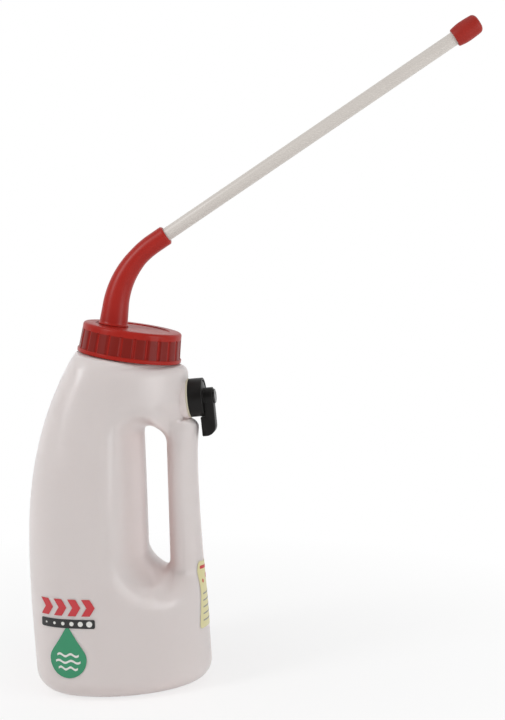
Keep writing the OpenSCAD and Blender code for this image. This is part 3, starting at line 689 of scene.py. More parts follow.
def slant(x, z):
    """Length across the jug for each unit of depth into its wall, which grows where the side slopes."""
    step = 0.5
    along = (half_width(x + step, z) - half_width(x - step, z)) / (2 * step)
    up = (half_width(x, z + step) - half_width(x, z - step)) / (2 * step)
    return sqrt(1 + along ** 2 + up ** 2)


def ends_of(edge):
    return frozenset(tuple(v.co) for v in edge.verts)


def jug_skin(inset, neck_rings):
    """Skin of the jug at a depth in its wall: one side grows from the side view in to the gap, and is
    mirrored, bridged at the parting line and the gap, and drawn up into the neck."""
    outer, inner = drawn_in(side_view(), inset), gap_edge(inset)
    bm = bmesh.new()
    place = bm.verts.layers.int.new("place")
    verts = bmesh.ops.create_circle(bm, segments=len(outer), radius=1)["verts"]
    for k, vert in enumerate(verts):
        vert[place] = k
    rim = edges = bm.edges[:]
    for step in range(RING_STEPS + 1):
        if step > 0:
            edges, verts = extruded_ring(bm, edges)
        t = (1 - cos(pi * step / RING_STEPS)) / 2
        for vert in verts:
            x, z = Vector(outer[vert[place]]).lerp(Vector(inner[vert[place]]), t)
            depth = inset * slant(x, z) if inset else 0
            vert.co = (x, -max(half_width(x, z) + PARTING_LAND - depth, PARTING_LAND), z)
    top_first = len(outer) - TOP_STEPS - 1
    on_top = {e for e in rim if all(v[place] >= top_first or v[place] == 0 for v in e.verts)}
    seam = [e for e in rim if e not in on_top]
    near_loops = [{ends_of(e) for e in loop} for loop in (seam, edges)]
    bmesh.ops.mirror(bm, geom=bm.verts[:] + bm.edges[:] + bm.faces[:], axis="Y", merge_dist=-1)
    for near in near_loops:
        pair = near | {frozenset((x, -y, z) for x, y, z in ends) for ends in near}
        bmesh.ops.bridge_loops(bm, edges=[e for e in bm.edges if ends_of(e) in pair])
    raise_neck(bm, [e for e in bm.edges if e.is_boundary], neck_rings)
    return bm


def raise_neck(bm, edges, rings):
    """Draws the opening in the shoulder in to a round neck, through rings of a radius and a height."""
    level = ON_NECK.inverted()
    for radius, height in rings:
        edges, verts = extruded_ring(bm, edges)
        for vert in verts:
            local = level @ vert.co
            turn = atan2(local.y, local.x)
            vert.co = ON_NECK @ Vector((radius * cos(turn), radius * sin(turn), height))


def thread(root_r, crest_r, z, start):
    """Screw ridge on a round wall, with its foot let into the wall."""
    steps = 120
    root, crest = THREAD_ROOT_W / 2, THREAD_CREST_W / 2
    bm = bmesh.new()
    corners = ((root_r, -root), (crest_r, -crest), (crest_r, crest), (root_r, root))
    verts = [bm.verts.new((r, 0, z + up)) for r, up in corners]
    edges = [bm.edges.new((verts[k - 1], verts[k])) for k in range(len(verts))]
    section = bm.faces.new(verts)
    rise = THREAD_PITCH * THREAD_TURN / FULL_TURN / steps
    bmesh.ops.spin(bm, geom=[section] + verts + edges, cent=(0, 0, 0), axis=(0, 0, 1), dvec=(0, 0, rise),
                   angle=THREAD_TURN, steps=steps)
    bmesh.ops.rotate(bm, verts=bm.verts, cent=(0, 0, 0), matrix=Matrix.Rotation(start, 3, "Z"))
    return tidied(bm)


def make_jug():
    """Outer and inner skins joined at the rim, the cup behind the valve, the thread and the stem's hole."""
    bore = NECK_R - NECK_WALL
    foot_out, foot_up = NECK_FOOT_MID
    outside = jug_skin(0, [
        (NECK_R + NECK_FOOT, -RIM_GAP), (NECK_R + foot_out, foot_up - RIM_GAP), (NECK_R, NECK_FOOT - RIM_GAP),
        (NECK_R, NECK_H / 2), (NECK_R, NECK_H - EDGE_FULL), (NECK_R - EDGE_FULL, NECK_H)])
    inside = jug_skin(WALL, [
        (bore + BORE_FOOT, -RIM_GAP - WALL), (bore, -RIM_GAP), (bore, NECK_H / 2),
        (bore, NECK_H - EDGE_SOFT), (bore + EDGE_SOFT, NECK_H)])
    both = joined(outside, inside)
    bmesh.ops.bridge_loops(both, edges=[e for e in both.edges if e.is_boundary])
    jug = as_object("jug_shell", tidied(both))
    core, cup = STEM_R - SEAT_SPARE, SEAT_R - WALL
    boss = lathe("boss", [
        (core, -SEAT_T, 0), (cup, -SEAT_T, 0), (cup, -SEAT_DEPTH, 0), (SEAT_R, -SEAT_DEPTH, 0),
        (SEAT_R, 0, EDGE_FULL), (core, 0, 0)], ON_VALVE, steps=120)
    ridge = as_object("ridge", thread(NECK_R - OVERLAP, NECK_R + THREAD_H, THREAD_Z, 0), ON_NECK)
    hole = drill_bit(ON_VALVE, -2 * SEAT_DEPTH, (STEM_R + THREAD_GAP, SEAT_DEPTH))
    return cut(united(jug, boss, ridge), hole)


# Cap

STEPS_PER_FLUTE = 24
FLUTE_FOOT_RINGS = (0.05, 0.2, 0.4, 1)
FLUTE_HEAD_RINGS = (1.5, 1.2, 0.9, 0.6, 0.3, 0)


def press_flutes(bm):
    """Presses upright grooves into the skirt, each round at its top, and marks the pads left between them for
    a painted shade.
    """
    pad = bm.verts.layers.float.new("pad")
    sector = FULL_TURN / FLUTES
    for vert in bm.verts:
        radius = vert.co.xy.length
        if radius < SKIRT_IN_R + TOUCH or not FLUTE_LOW - TOUCH < vert.co.z < FLUTE_HIGH + TOUCH:
            continue
        turn = atan2(vert.co.y, vert.co.x)
        across = abs((turn / sector + 0.5) % 1 - 0.5) * sector * radius
        share = max(0.0, 1 - across / FLUTE_HALF_W)
        ends = smooth((vert.co.z - FLUTE_LOW) / FLUTE_FOOT) * smooth((FLUTE_HIGH - vert.co.z) / FLUTE_HEAD)
        vert.co.xy *= (radius - FLUTE_DEPTH * min(share * FLUTE_STEEPNESS, 1) * ends) / radius
        # Painted shade: this value darkens the pads, standing in for the shade on their faces while the bands
        # catch the light
        vert[pad] = ends * smooth((across - FLUTE_HALF_W) / PAD_SHADE_EDGE + 1)


def make_cap():
    """Turned shell with flutes, a boss for the elbow's spigot under its top, and the thread inside."""
    lean = SKIRT_DRAFT / (CAP_H - CAP_EDGE_H)
    heights = [FLUTE_LOW] + [FLUTE_LOW + up for up in FLUTE_FOOT_RINGS] + [(FLUTE_LOW + FLUTE_HIGH) / 2]
    heights += [FLUTE_HIGH - down for down in FLUTE_HEAD_RINGS]
    skirt = [(SKIRT_R - lean * z, z, 0) for z in heights]
    profile = rounded(
        [(SKIRT_IN_R, 0, EDGE_SMALL), (CAP_R, 0, EDGE_ROUND), (CAP_R, RIM_BAND, EDGE_SOFT)]
        + skirt
        + [(SKIRT_TOP_R, CAP_H, CAP_EDGE_R), (RECESS_R, CAP_H, EDGE_SMALL),
           (RECESS_R, CAP_FLOOR_Z, RECESS_FILLET), (0, CAP_FLOOR_Z, 0), (0, CEILING_Z, 0),
           (SKIRT_IN_R, CEILING_Z, EDGE_SOFT)])
    bm = turned(profile, FLUTES * STEPS_PER_FLUTE)
    press_flutes(bm)
    cap = as_object("cap_shell", bm, ON_NECK, sharp=30)
    boss_r, boss_low, boss_high = ELBOW_BASE_R + BOSS_WALL, CEILING_Z - BOSS_H, CEILING_Z + OVERLAP
    boss = lathe("spigot_boss", [
        (0, boss_low, 0), (boss_r, boss_low, EDGE_SOFT), (boss_r, boss_high, 0), (0, boss_high, 0)], ON_ELBOW)
    ridge_z = THREAD_Z + THREAD_PITCH * (THREAD_LEAD / FULL_TURN - 0.5)
    ridge = as_object("cap_ridge", thread(SKIRT_IN_R + OVERLAP, NECK_R + THREAD_GAP, ridge_z, THREAD_LEAD),
                      ON_NECK)
    hole = drill_bit(ON_ELBOW, 0, (SPIGOT_R + RUN_GAP, CAP_H + DRILL_PAST))
    return cut(united(cap, boss, ridge), hole)


# Elbow

def elbow_at(s):
    """Frame on the elbow's middle, at a length s from its foot."""
    a = max(0.0, min(ELBOW_BEND, (s - RISE_LEN) / BEND_R))
    after = max(0.0, s - RISE_LEN - ARC_LEN)
    x = BEND_R * (1 - cos(a)) + after * sin(ELBOW_BEND)
    z = ELBOW_FOOT_Z + min(s, RISE_LEN) + BEND_R * sin(a) + after * cos(ELBOW_BEND)
    return Matrix.Translation((x, 0, z)) @ Matrix.Rotation(a, 4, "Y")


def elbow_radius(s):
    return ELBOW_END_R + (ELBOW_BASE_R - ELBOW_END_R) * max(0.0, 1 - s / ELBOW_TAPER)


def seal_groove(start, end, wall, floor):
    """Rings of a square groove for a seal, from one side to the other."""
    return [(start, wall), (start, floor), (end, floor), (end, wall)]


def make_elbow():
    """One skin of rings: up the spigot and the horn, in at the mouth, and down the socket and the duct."""
    collar_r = ELBOW_BASE_R + COLLAR_PROUD
    groove = (CEILING_Z - BOSS_H / 2) - ELBOW_FOOT_Z
    rings = [(-SPIGOT_LEN, SPIGOT_R - EDGE_SOFT), (EDGE_SOFT - SPIGOT_LEN, SPIGOT_R)]
    rings += seal_groove(groove - SPIGOT_SEAL_HALF, groove + SPIGOT_SEAL_HALF,
                         SPIGOT_R, SPIGOT_R - SPIGOT_SEAL_DEPTH)
    rings += [(0, SPIGOT_R), (0, collar_r - EDGE_FINE), (EDGE_FINE, collar_r),
              (COLLAR_H - EDGE_FINE, collar_r), (COLLAR_H, collar_r - EDGE_FINE),
              (COLLAR_H + HORN_ROOT_Z, elbow_radius(0) + HORN_ROOT)]
    horn_steps = 60
    for k in range(horn_steps + 1):
        s = between(COLLAR_H + HORN_START, ELBOW_LEN - MOUTH_CHAMFER, k / horn_steps)
        rings.append((s, elbow_radius(s)))
    mouth, mouth_r = ELBOW_LEN, ELBOW_END_R - MOUTH_CHAMFER
    seal = mouth - TUBE_SEAL_BACK
    socket, socket_end = TUBE_R + RUN_GAP, mouth - SOCKET_LEN
    rings += [(mouth - MOUTH_EDGE_BACK, mouth_r + MOUTH_EDGE_OUT), (mouth, mouth_r),
              (mouth, socket + EDGE_SMALL)]
    socket_first = len(rings)
    rings.append((mouth - EDGE_SMALL, socket))
    rings += seal_groove(seal + TUBE_SEAL_HALF, seal - TUBE_SEAL_HALF, socket, socket + TUBE_SEAL_DEPTH)
    rings.append((socket_end, socket))
    duct_first = len(rings)
    duct_steps = 24
    for k in range(duct_steps + 1):
        t = k / duct_steps
        rings.append((between(socket_end, 0, t), between(TUBE_BORE_R, DUCT_R, t)))
    rings.append((-SPIGOT_LEN, DUCT_R))
    bm = bmesh.new()
    bmesh.ops.create_circle(bm, segments=64, radius=1)
    turn = bm.verts.layers.float.new("turn")
    for vert in bm.verts:
        vert[turn] = atan2(vert.co.y, vert.co.x)
    first = edges = bm.edges[:]
    verts = bm.verts[:]
    for k, (s, radius) in enumerate(rings):
        if k > 0:
            edges, verts = extruded_ring(bm, edges)
        place = elbow_at(s)
        if socket_first <= k <= duct_first:
            place = elbow_at(mouth) @ Matrix.Translation((0, 0, s - mouth))
        for vert in verts:
            vert.co = place @ Vector((radius * cos(vert[turn]), radius * sin(vert[turn]), min(s, 0)))
    bmesh.ops.bridge_loops(bm, edges=first + edges)
    return as_object("elbow_horn", tidied(bm), ON_ELBOW, sharp=32)


# Tube and tip

def make_tube():
    start, end = -SOCKET_LEN + SEAL_GAP, TUBE_SHOW + TIP_SOCKET - SEAT_GAP
    return lathe("drench_tube_skin", [
        (TUBE_BORE_R, start, EDGE_FINE), (TUBE_R, start, EDGE_MID), (TUBE_R, end, EDGE_MID),
        (TUBE_BORE_R, end, EDGE_FINE)], ON_TUBE, steps=72)


def make_tip():
    """Soft bulb: a socket over the tube, a swell, a rounded nose and a bore."""
    grip = TUBE_R + SEAT_GAP
    nose_mid, nose_z = TIP_END_R - TIP_NOSE_IN, TIP_LEN - TIP_NOSE_R
    swell_steps, nose_steps = 12, 8
    profile = [(grip, TIP_SOCKET), (grip, EDGE_FINE), (TUBE_R + EDGE_MID, 0), (TIP_BASE_R - TIP_HEEL, 0),
               (TIP_BASE_R - EDGE_FINE, EDGE_FINE)]
    for k in range(swell_steps + 1):
        t = k / swell_steps
        profile.append((between(TIP_BASE_R, TIP_R, sin(pi / 2 * t)), between(TIP_LIP, TIP_SWELL_Z, t)))
    for k in range(1, swell_steps + 1):
        t = k / swell_steps
        profile.append((between(TIP_R, nose_mid + TIP_NOSE_R, t * t), between(TIP_SWELL_Z, nose_z, t)))
    for k in range(1, nose_steps + 1):
        a = pi / 2 * k / nose_steps
        profile.append((nose_mid + TIP_NOSE_R * cos(a), nose_z + TIP_NOSE_R * sin(a)))
    profile += [(TUBE_BORE_R + EDGE_MID, TIP_LEN), (TUBE_BORE_R, TIP_LEN - EDGE_MID),
                (TUBE_BORE_R, TIP_SOCKET)]
    return as_object("bulb_tip", turned(profile, steps=80), ON_TUBE @ Matrix.Translation((0, 0, TUBE_SHOW)))


# Air valve

def make_gasket():
    inner, outer = STEM_R + THREAD_GAP, HOUSING_R + GASKET_PROUD
    return lathe("seat_gasket", [
        (inner, 0, EDGE_TRIM), (outer, 0, EDGE_MID), (outer, GASKET_T, EDGE_MID),
        (inner, GASKET_T, EDGE_TRIM)], ON_VALVE, steps=120)


def make_housing():
    """Body of the valve: a stem with the check's bore, and a cup for the port plate and the rotor."""
    back, face = GASKET_T, HOUSING_FACE
    stem_end = back - STEM_LEN
    check_z = stem_end + CHECK_DEPTH
    cup_floor = ROTOR_BACK - ROTOR_SEAL_T - PLATE_T
    ledge_r, chamber_floor = CUP_R - PLATE_LEDGE, cup_floor - CHAMBER_DEPTH
    return lathe("valve_body", [
        (AIR_R, check_z, 0), (CHECK_R, check_z, 0), (CHECK_R, stem_end, EDGE_FINE),
        (STEM_R, stem_end, EDGE_SOFT), (STEM_R, back, EDGE_FINE), (HOUSING_R, back, EDGE_ROUND),
        (HOUSING_R, face, EDGE_ROUND), (CUP_R, face, EDGE_SOFT), (CUP_R, cup_floor, 0),
        (ledge_r, cup_floor, 0), (ledge_r, chamber_floor, 0), (AIR_R, chamber_floor, 0)], ON_VALVE, steps=120)


def make_fin():
    """Finger lever: its side view given its width, and its long edges rounded clear of the housing."""
    pad_in = HOUSING_R + PAD_GAP
    low, pad_low = HOUSING_FACE + SEAL_GAP, HOUSING_FACE - PAD_BACK
    side = rounded([
        (-LEVER_PAST, low, 0), (pad_in, low, EDGE_FINE), (pad_in, pad_low, EDGE_TRIM),
        (LEVER_REACH, pad_low, PAD_TOE_R), (LEVER_REACH, HUB_FACE, PAD_ROUND), (-LEVER_PAST, HUB_FACE, 0)],
        steps=10)
    bm = bmesh.new()
    face = bm.faces.new([bm.verts.new((p[0], -LEVER_W / 2, p[1])) for p in side])
    grown = bmesh.ops.extrude_face_region(bm, geom=[face])["geom"]
    bmesh.ops.translate(bm, verts=verts_in(grown), vec=(0, LEVER_W, 0))
    bmesh.ops.recalc_face_normals(bm, faces=bm.faces)
    keep_out, keep_up = 0.9, 0.5
    long_sides = []
    for edge in bm.edges:
        middle = (edge.verts[0].co + edge.verts[1].co) / 2
        beside_housing = middle.x < pad_in + keep_out and middle.z < low + keep_up
        if abs(middle.y) > 0 and not beside_housing:
            long_sides.append(edge)
    bmesh.ops.bevel(bm, geom=long_sides, offset=LEVER_BEVEL, segments=4, profile=0.5, affect="EDGES",
                    material=-1)
    return as_object("lever_fin", bm, ON_VALVE)


def make_lever():
    """Finger lever on a hub and rotor, with a well for the pivot screw."""
    rotor_r, pivot_r, well_floor = CUP_R - RUN_GAP, SCREW_R + RUN_GAP, HUB_FACE - WELL_DEPTH
    fin = make_fin()
    hub = lathe("hub", [
        (pivot_r, ROTOR_BACK, 0), (rotor_r, ROTOR_BACK, EDGE_FINE), (rotor_r, ROTOR_FACE, ROTOR_EDGE_R),
        (HUB_R, ROTOR_FACE, EDGE_MID), (HUB_R, HUB_FACE, EDGE_FULL), (WELL_R, HUB_FACE, EDGE_TRIM),
        (WELL_R, well_floor, 0), (pivot_r, well_floor, 0)], ON_VALVE)
    well = drill_bit(ON_VALVE, ROTOR_FACE - DRILL_PAST,
                     (pivot_r, well_floor), (WELL_R, HUB_FACE + WELL_PAST))
    return united(cut(fin, well), hub)


def make_hub_cap():
    """Button with a shallow dish, plugged into the hub's well."""
    plug_r, plug_z = WELL_R - SEAT_GAP, HUB_FACE - HUB_CAP_PLUG
    top, dish = HUB_FACE + HUB_CAP_T, HUB_FACE + HUB_CAP_T - DISH_DEPTH
    return lathe("hub_button", [
        (0, plug_z, 0), (plug_r, plug_z, EDGE_TRIM), (plug_r, HUB_FACE, 0), (HUB_CAP_R, HUB_FACE, EDGE_FINE),
        (HUB_CAP_R, top, HUB_CAP_EDGE_R), (DISH_R, top, EDGE_TRIM), (DISH_R - DISH_SLOPE, dish, EDGE_TRIM),
        (0, dish, 0)], ON_VALVE, steps=72)


# Labels

def laid(points, on_jug, outwards):
    """Flat shape cut into small faces, laid where on_jug says and thickened outwards as a layer of ink."""
    bm = bmesh.new()
    bm.faces.new([bm.verts.new((u, 0, v)) for u, v in points])
    for axis, normal in ((0, Vector((1, 0, 0))), (1, Vector((0, 0, 1)))):
        low = min(p[axis] for p in points)
        high = max(p[axis] for p in points)
        for k in range(1, int((high - low) / LABEL_PITCH) + 1):
            bmesh.ops.bisect_plane(bm, geom=bm.verts[:] + bm.edges[:] + bm.faces[:], dist=1e-5,
                                   plane_co=normal * (low + k * LABEL_PITCH), plane_no=normal)
    for vert in bm.verts:
        vert.co = on_jug(vert.co.x, vert.co.z)
    grown = bmesh.ops.extrude_face_region(bm, geom=bm.faces[:])["geom"]
    bmesh.ops.translate(bm, verts=verts_in(grown), vec=Vector(outwards) * INK_T)
    bmesh.ops.recalc_face_normals(bm, faces=bm.faces)
    return bm


def inked(points, lift):
    """Flat shape of the side view, laid on the jug's near side."""
    def on_side(x, z):
        return Vector((x, -half_width(x, z) - PARTING_LAND - lift, z))
    return laid(points, on_side, (0, -1, 0))


def circle_at(x, z, r, steps=40):
    return [(x + r * cos(FULL_TURN * k / steps), z + r * sin(FULL_TURN * k / steps)) for k in range(steps)]


def label_block(x0, z0, x1, z1, r):
    return [tuple(p) for p in rounded([(x0, z0, r), (x1, z0, r), (x1, z1, r), (x0, z1, r)])]


def drop_at(x, z, r, steps=48):
    """Falling drop: a round bowl drawn up to a point."""
    points = []
    for k in range(steps):
        a = FULL_TURN * k / steps
        pull = max(0.0, sin(a)) ** DROP_POINT
        points.append((x + r * cos(a) * (1 - DROP_PINCH * pull), z + r * sin(a) * (1 + DROP_PULL * pull)))
    return points


def chevron_at(x, z):
    """Bent band that points to the right."""
    middle, top = z + CHEVRON_H / 2, z + CHEVRON_H
    return [(x, z), (x + CHEVRON_W, z), (x + CHEVRON_W + CHEVRON_POINT, middle), (x + CHEVRON_W, top),
            (x, top), (x + CHEVRON_POINT, middle)]


def wave_at(x, z, half, steps=20):
    """Band of two waves, with a half length each way."""
    line = []
    for k in range(steps + 1):
        t = k / steps
        line.append((x + half * (2 * t - 1), z + WAVE_SWING * sin(2 * FULL_TURN * t)))
    return line + [(px, pz + WAVE_T) for px, pz in reversed(line)]


def make_front_label():
    """Plain generic print: a green drop with pale waves, a black dotted band and red chevrons."""
    x, z = SIDE_LABEL_X, SIDE_LABEL_Z
    left, band_z = x - BAND_W / 2, z + BAND_Z
    over = LABEL_LIFT + INK_T + INK_GAP
    green = as_object("label_green", inked(drop_at(x, z + DROP_Z, DROP_R), LABEL_LIFT))
    band = label_block(left, band_z, left + BAND_W, band_z + BAND_H, BAND_EDGE_R)
    black = as_object("label_black", inked(band, over))
    chevrons = []
    for k in range(CHEVRONS):
        chevrons.append(inked(chevron_at(left + CHEVRON_PITCH * k, z + CHEVRON_Z), LABEL_LIFT))
    red = as_object("label_red", joined(*chevrons))
    pale = []
    for k in range(BAND_DOTS):
        dot_x = x + BAND_DOT_PITCH * (k - (BAND_DOTS - 1) / 2)
        dot = circle_at(dot_x, band_z + BAND_H / 2, BAND_DOT_R + BAND_DOT_GROWTH * k)
        pale.append(inked(dot, over + INK_T + INK_GAP))
    for k, half in enumerate(WAVE_HALVES):
        pale.append(inked(wave_at(x, z + WAVE_Z + WAVE_PITCH * k, half), over))
    white = as_object("label_pale", joined(*pale))
    return green, black, red, white


def behind_x(y, z):
    """Back of the jug, seen from behind: the stretch behind the gap is halved until the width fits."""
    halvings = 24
    low, high = GAP_MID_X + GAP_R + GAP_ROUND, back_x(z)
    for halving in range(halvings):
        middle = (low + high) / 2
        if half_width(middle, z) + PARTING_LAND > abs(y):
            low = middle
        else:
            high = middle
    return low


def backed(points, lift):
    """Flat shape of the view from behind, drawn in towards its top, laid on the jug's back."""
    def on_back(across, z):
        y = across * between(1, BACK_LABEL_TOP_W / BACK_LABEL_W, (z - BACK_LABEL_Z) / BACK_LABEL_H)
        return Vector((behind_x(y, z) + lift, y, z))
    return laid(points, on_back, (1, 0, 0))


def make_back_label():
    """Pale film with a bar and a rising row of dots, from the slow to the fast setting, over ruled lines."""
    half = BACK_LABEL_W / 2
    low, high = BACK_LABEL_Z, BACK_LABEL_Z + BACK_LABEL_H
    over = BACK_FILM_LIFT + INK_T + BACK_INK_GAP
    film = as_object("back_film", backed(label_block(-half, low, half, high, FILM_EDGE_R), BACK_FILM_LIFT))
    marks = []
    for k in range(BACK_DOTS):
        dot_y = BACK_DOT_PITCH * (k - (BACK_DOTS - 1) / 2)
        dot_z = high - BACK_DOT_DROP + BACK_DOT_RISE * k
        marks.append(backed(circle_at(dot_y, dot_z, BACK_DOT_R + BACK_DOT_GROWTH * k), over))
    bar, bar_top = half - BAR_INSET, high - BAR_INSET
    marks.append(backed(label_block(-bar, bar_top - BAR_T, bar, bar_top, BAR_EDGE_R), over))
    red = as_object("back_dots", joined(*marks))
    rules = []
    for k in range(RULES):
        rule, rule_z = half - RULE_INSET, low + RULE_PITCH * (k + 1)
        rules.append(backed(label_block(-rule, rule_z, rule, rule_z + RULE_T, EDGE_SMALL), over))
    grey = as_object("back_lines", joined(*rules))
    return film, red, grey


# Node groups and materials

def add_node(tree, kind, place=(0, 0), **values):
    node = tree.nodes.new(kind)
    node.location = place
    for key, value in values.items():
        setattr(node, key, value)
    return node


def set_inputs(node, **values):
    """Sets a node's inputs, each named with an underscore for each space."""
    for key, value in values.items():
        node.inputs[key.replace("_", " ")].default_value = value


def new_group(name, inputs, outputs):
    """Shader node group with value inputs and their defaults, and value outputs."""
    group = bpy.data.node_groups.new(name, "ShaderNodeTree")
    for label, default in inputs:
        socket = group.interface.new_socket(label, in_out="INPUT", socket_type="NodeSocketFloat")
        socket.default_value = default
    for label in outputs:
        group.interface.new_socket(label, in_out="OUTPUT", socket_type="NodeSocketFloat")
    return group, group.nodes.new("NodeGroupInput"), group.nodes.new("NodeGroupOutput")


def moulded_skin_group():
    """Fine grain and broad clouds of a moulded plastic surface."""
    group, given, out = new_group("moulded_skin", [("Grain Scale", 1800.0), ("Cloud Scale", 25.0)],
                                  ["Height", "Cloud"])
    where = add_node(group, "ShaderNodeTexCoord")
    grain = add_node(group, "ShaderNodeTexNoise")
    set_inputs(grain, Detail=1)
    cloud = add_node(group, "ShaderNodeTexNoise")
    set_inputs(cloud, Detail=4)
    link = group.links.new
    link(where.outputs["Object"], grain.inputs["Vector"])
    link(where.outputs["Object"], cloud.inputs["Vector"])
    link(given.outputs["Grain Scale"], grain.inputs["Scale"])
    link(given.outputs["Cloud Scale"], cloud.inputs["Scale"])
    link(grain.outputs["Fac"], out.inputs["Height"])
    link(cloud.outputs["Fac"], out.inputs["Cloud"])
    return group


def rubbed_group():
    """Scattered fine rubs and scratches from handling."""
    group, given, out = new_group("rubbed", [("Scale", 60.0), ("Reach", 0.35)], ["Mask"])
    where = add_node(group, "ShaderNodeTexCoord")
    stretch = add_node(group, "ShaderNodeMapping")
    set_inputs(stretch, Rotation=(0.4, 0.7, 0.2), Scale=(1, 9, 3))
    streaks = add_node(group, "ShaderNodeTexNoise")
    set_inputs(streaks, Detail=6, Roughness=0.7)
    patches = add_node(group, "ShaderNodeTexNoise")
    set_inputs(patches, Scale=18)
    both = add_node(group, "ShaderNodeMath", operation="MULTIPLY")
    band = add_node(group, "ShaderNodeMapRange")
    set_inputs(band, From_Max=0.5)
    link = group.links.new
    link(where.outputs["Object"], stretch.inputs["Vector"])
    link(stretch.outputs["Vector"], streaks.inputs["Vector"])
    link(where.outputs["Object"], patches.inputs["Vector"])
    link(given.outputs["Scale"], streaks.inputs["Scale"])
    link(streaks.outputs["Fac"], both.inputs[0])
    link(patches.outputs["Fac"], both.inputs[1])
    link(both.outputs["Value"], band.inputs["Value"])
    link(given.outputs["Reach"], band.inputs["From Min"])
    link(band.outputs["Result"], out.inputs["Mask"])
    return group


MOULDED_SKIN = moulded_skin_group()
RUBBED = rubbed_group()

# The clouds' values with the most and the least gloss, and the grain's depth in metres
CLOUD_LOW = 0.3
CLOUD_HIGH = 0.7
GRAIN_DEPTH = 0.0004


def moulded(name, light, dark, roughness, grain, cloud, bump, rub=0.08, pad_colour=None, **shader):
    """Moulded plastic or rubber: clouded colour, uneven gloss, fine grain, a little rubbing, and a painted
    shade colour for pads; shader holds further inputs of the Principled BSDF."""
    material = bpy.data.materials.new(name)
    material.use_nodes = True
    tree = material.node_tree
    surface = tree.nodes["Principled BSDF"]
    set_inputs(surface, **shader)
    skin = add_node(tree, "ShaderNodeGroup", (-900, 100), node_tree=MOULDED_SKIN)
    set_inputs(skin, Grain_Scale=grain, Cloud_Scale=cloud)
    marks = add_node(tree, "ShaderNodeGroup", (-900, -200), node_tree=RUBBED)
    colour = add_node(tree, "ShaderNodeMix", (-500, 200), data_type="RGBA")
    set_inputs(colour, A=(*dark, 1), B=(*light, 1))
    gloss = add_node(tree, "ShaderNodeMapRange", (-500, 0))
    set_inputs(gloss, From_Min=CLOUD_LOW, From_Max=CLOUD_HIGH, To_Min=roughness[0], To_Max=roughness[1])
    dulled = add_node(tree, "ShaderNodeMath", (-300, -50), operation="MULTIPLY_ADD")
    dulled.inputs[1].default_value = rub
    raised = add_node(tree, "ShaderNodeBump", (-300, -250))
    set_inputs(raised, Strength=bump, Distance=GRAIN_DEPTH)
    link = tree.links.new
    link(skin.outputs["Cloud"], colour.inputs["Factor"])
    link(colour.outputs["Result"], surface.inputs["Base Color"])
    # Painted shade on the pads: their faces turn darker than the bands above and below them
    if pad_colour is not None:
        on_pad = add_node(tree, "ShaderNodeAttribute", (-500, 400), attribute_name="pad")
        padded = add_node(tree, "ShaderNodeMix", (-300, 300), data_type="RGBA")
        set_inputs(padded, B=(*pad_colour, 1))
        link(on_pad.outputs["Fac"], padded.inputs["Factor"])
        link(colour.outputs["Result"], padded.inputs["A"])
        link(padded.outputs["Result"], surface.inputs["Base Color"])
    link(skin.outputs["Cloud"], gloss.inputs["Value"])
    link(marks.outputs["Mask"], dulled.inputs[0])
    link(gloss.outputs["Result"], dulled.inputs[2])
    link(dulled.outputs["Value"], surface.inputs["Roughness"])
    link(skin.outputs["Height"], raised.inputs["Height"])
    link(raised.outputs["Normal"], surface.inputs["Normal"])
    return material


def ink(name, light, dark):
    """Printed ink, thin and even."""
    return moulded(name, light, dark, (0.3, 0.42), grain=2200.0, cloud=90.0, bump=0.05)


MILKY = moulded("milky_polyethylene", (0.92, 0.735, 0.705), (0.895, 0.705, 0.675), (0.285, 0.35),
                grain=120.0, cloud=14.0, bump=0.02, rub=0.03,
                Subsurface_Weight=1.0, Subsurface_Radius=(0.009, 0.009, 0.009), Subsurface_Scale=1.0)
RED = moulded("red_gloss_moulding", (0.39, 0.017, 0.010), (0.33, 0.013, 0.008), (0.3, 0.42),
              grain=220.0, cloud=60.0, bump=0.02, Specular_IOR_Level=0.25)
# Cap red, a little darker than the elbow's, with a painted shade on its pads in place of the shade they take
# from the light
RED_SHADED_PADS = moulded("red_cap_moulding", (0.37, 0.017, 0.010), (0.32, 0.013, 0.008), (0.3, 0.4),
                   grain=220.0, cloud=60.0, bump=0.02, pad_colour=(0.19, 0.012, 0.008),
                   Specular_IOR_Level=0.16)
RED_RUBBER = moulded("red_soft_bulb", (0.35, 0.020, 0.012), (0.29, 0.015, 0.009), (0.42, 0.55),
                     grain=400.0, cloud=80.0, bump=0.03, Specular_IOR_Level=0.25)
WHITE = moulded("white_tube_plastic", (0.62, 0.58, 0.54), (0.585, 0.545, 0.505), (0.3, 0.4),
                grain=300.0, cloud=30.0, bump=0.015)
BLACK = moulded("black_satin_moulding", (0.006, 0.005, 0.0045), (0.0035, 0.003, 0.0026), (0.36, 0.5),
                grain=500.0, cloud=70.0, bump=0.04, Specular_IOR_Level=0.22)
BLACK_GLOSS = moulded("black_polished_button", (0.008, 0.007, 0.0065), (0.005, 0.0045, 0.004), (0.14, 0.19),
                      grain=500.0, cloud=70.0, bump=0.03, rub=0.05)
GASKET = moulded("pale_rubber", (0.66, 0.61, 0.47), (0.58, 0.53, 0.40), (0.5, 0.62),
                 grain=1500.0, cloud=60.0, bump=0.08)
SEAL = moulded("black_seal_rubber", (0.03, 0.03, 0.031), (0.018, 0.018, 0.019), (0.6, 0.75),
               grain=1500.0, cloud=60.0, bump=0.1)
STEEL = moulded("plain_stainless", (0.6, 0.6, 0.61), (0.5, 0.5, 0.51), (0.29, 0.4),
                grain=3000.0, cloud=120.0, bump=0.05, Metallic=1.0)
FILM = moulded("yellow_film", (0.68, 0.63, 0.34), (0.62, 0.57, 0.30), (0.28, 0.4),
               grain=2200.0, cloud=40.0, bump=0.04)
INK_RED = ink("red_ink", (0.55, 0.035, 0.045), (0.47, 0.028, 0.036))
INK_BLACK = ink("black_ink", (0.016, 0.015, 0.015), (0.011, 0.010, 0.010))
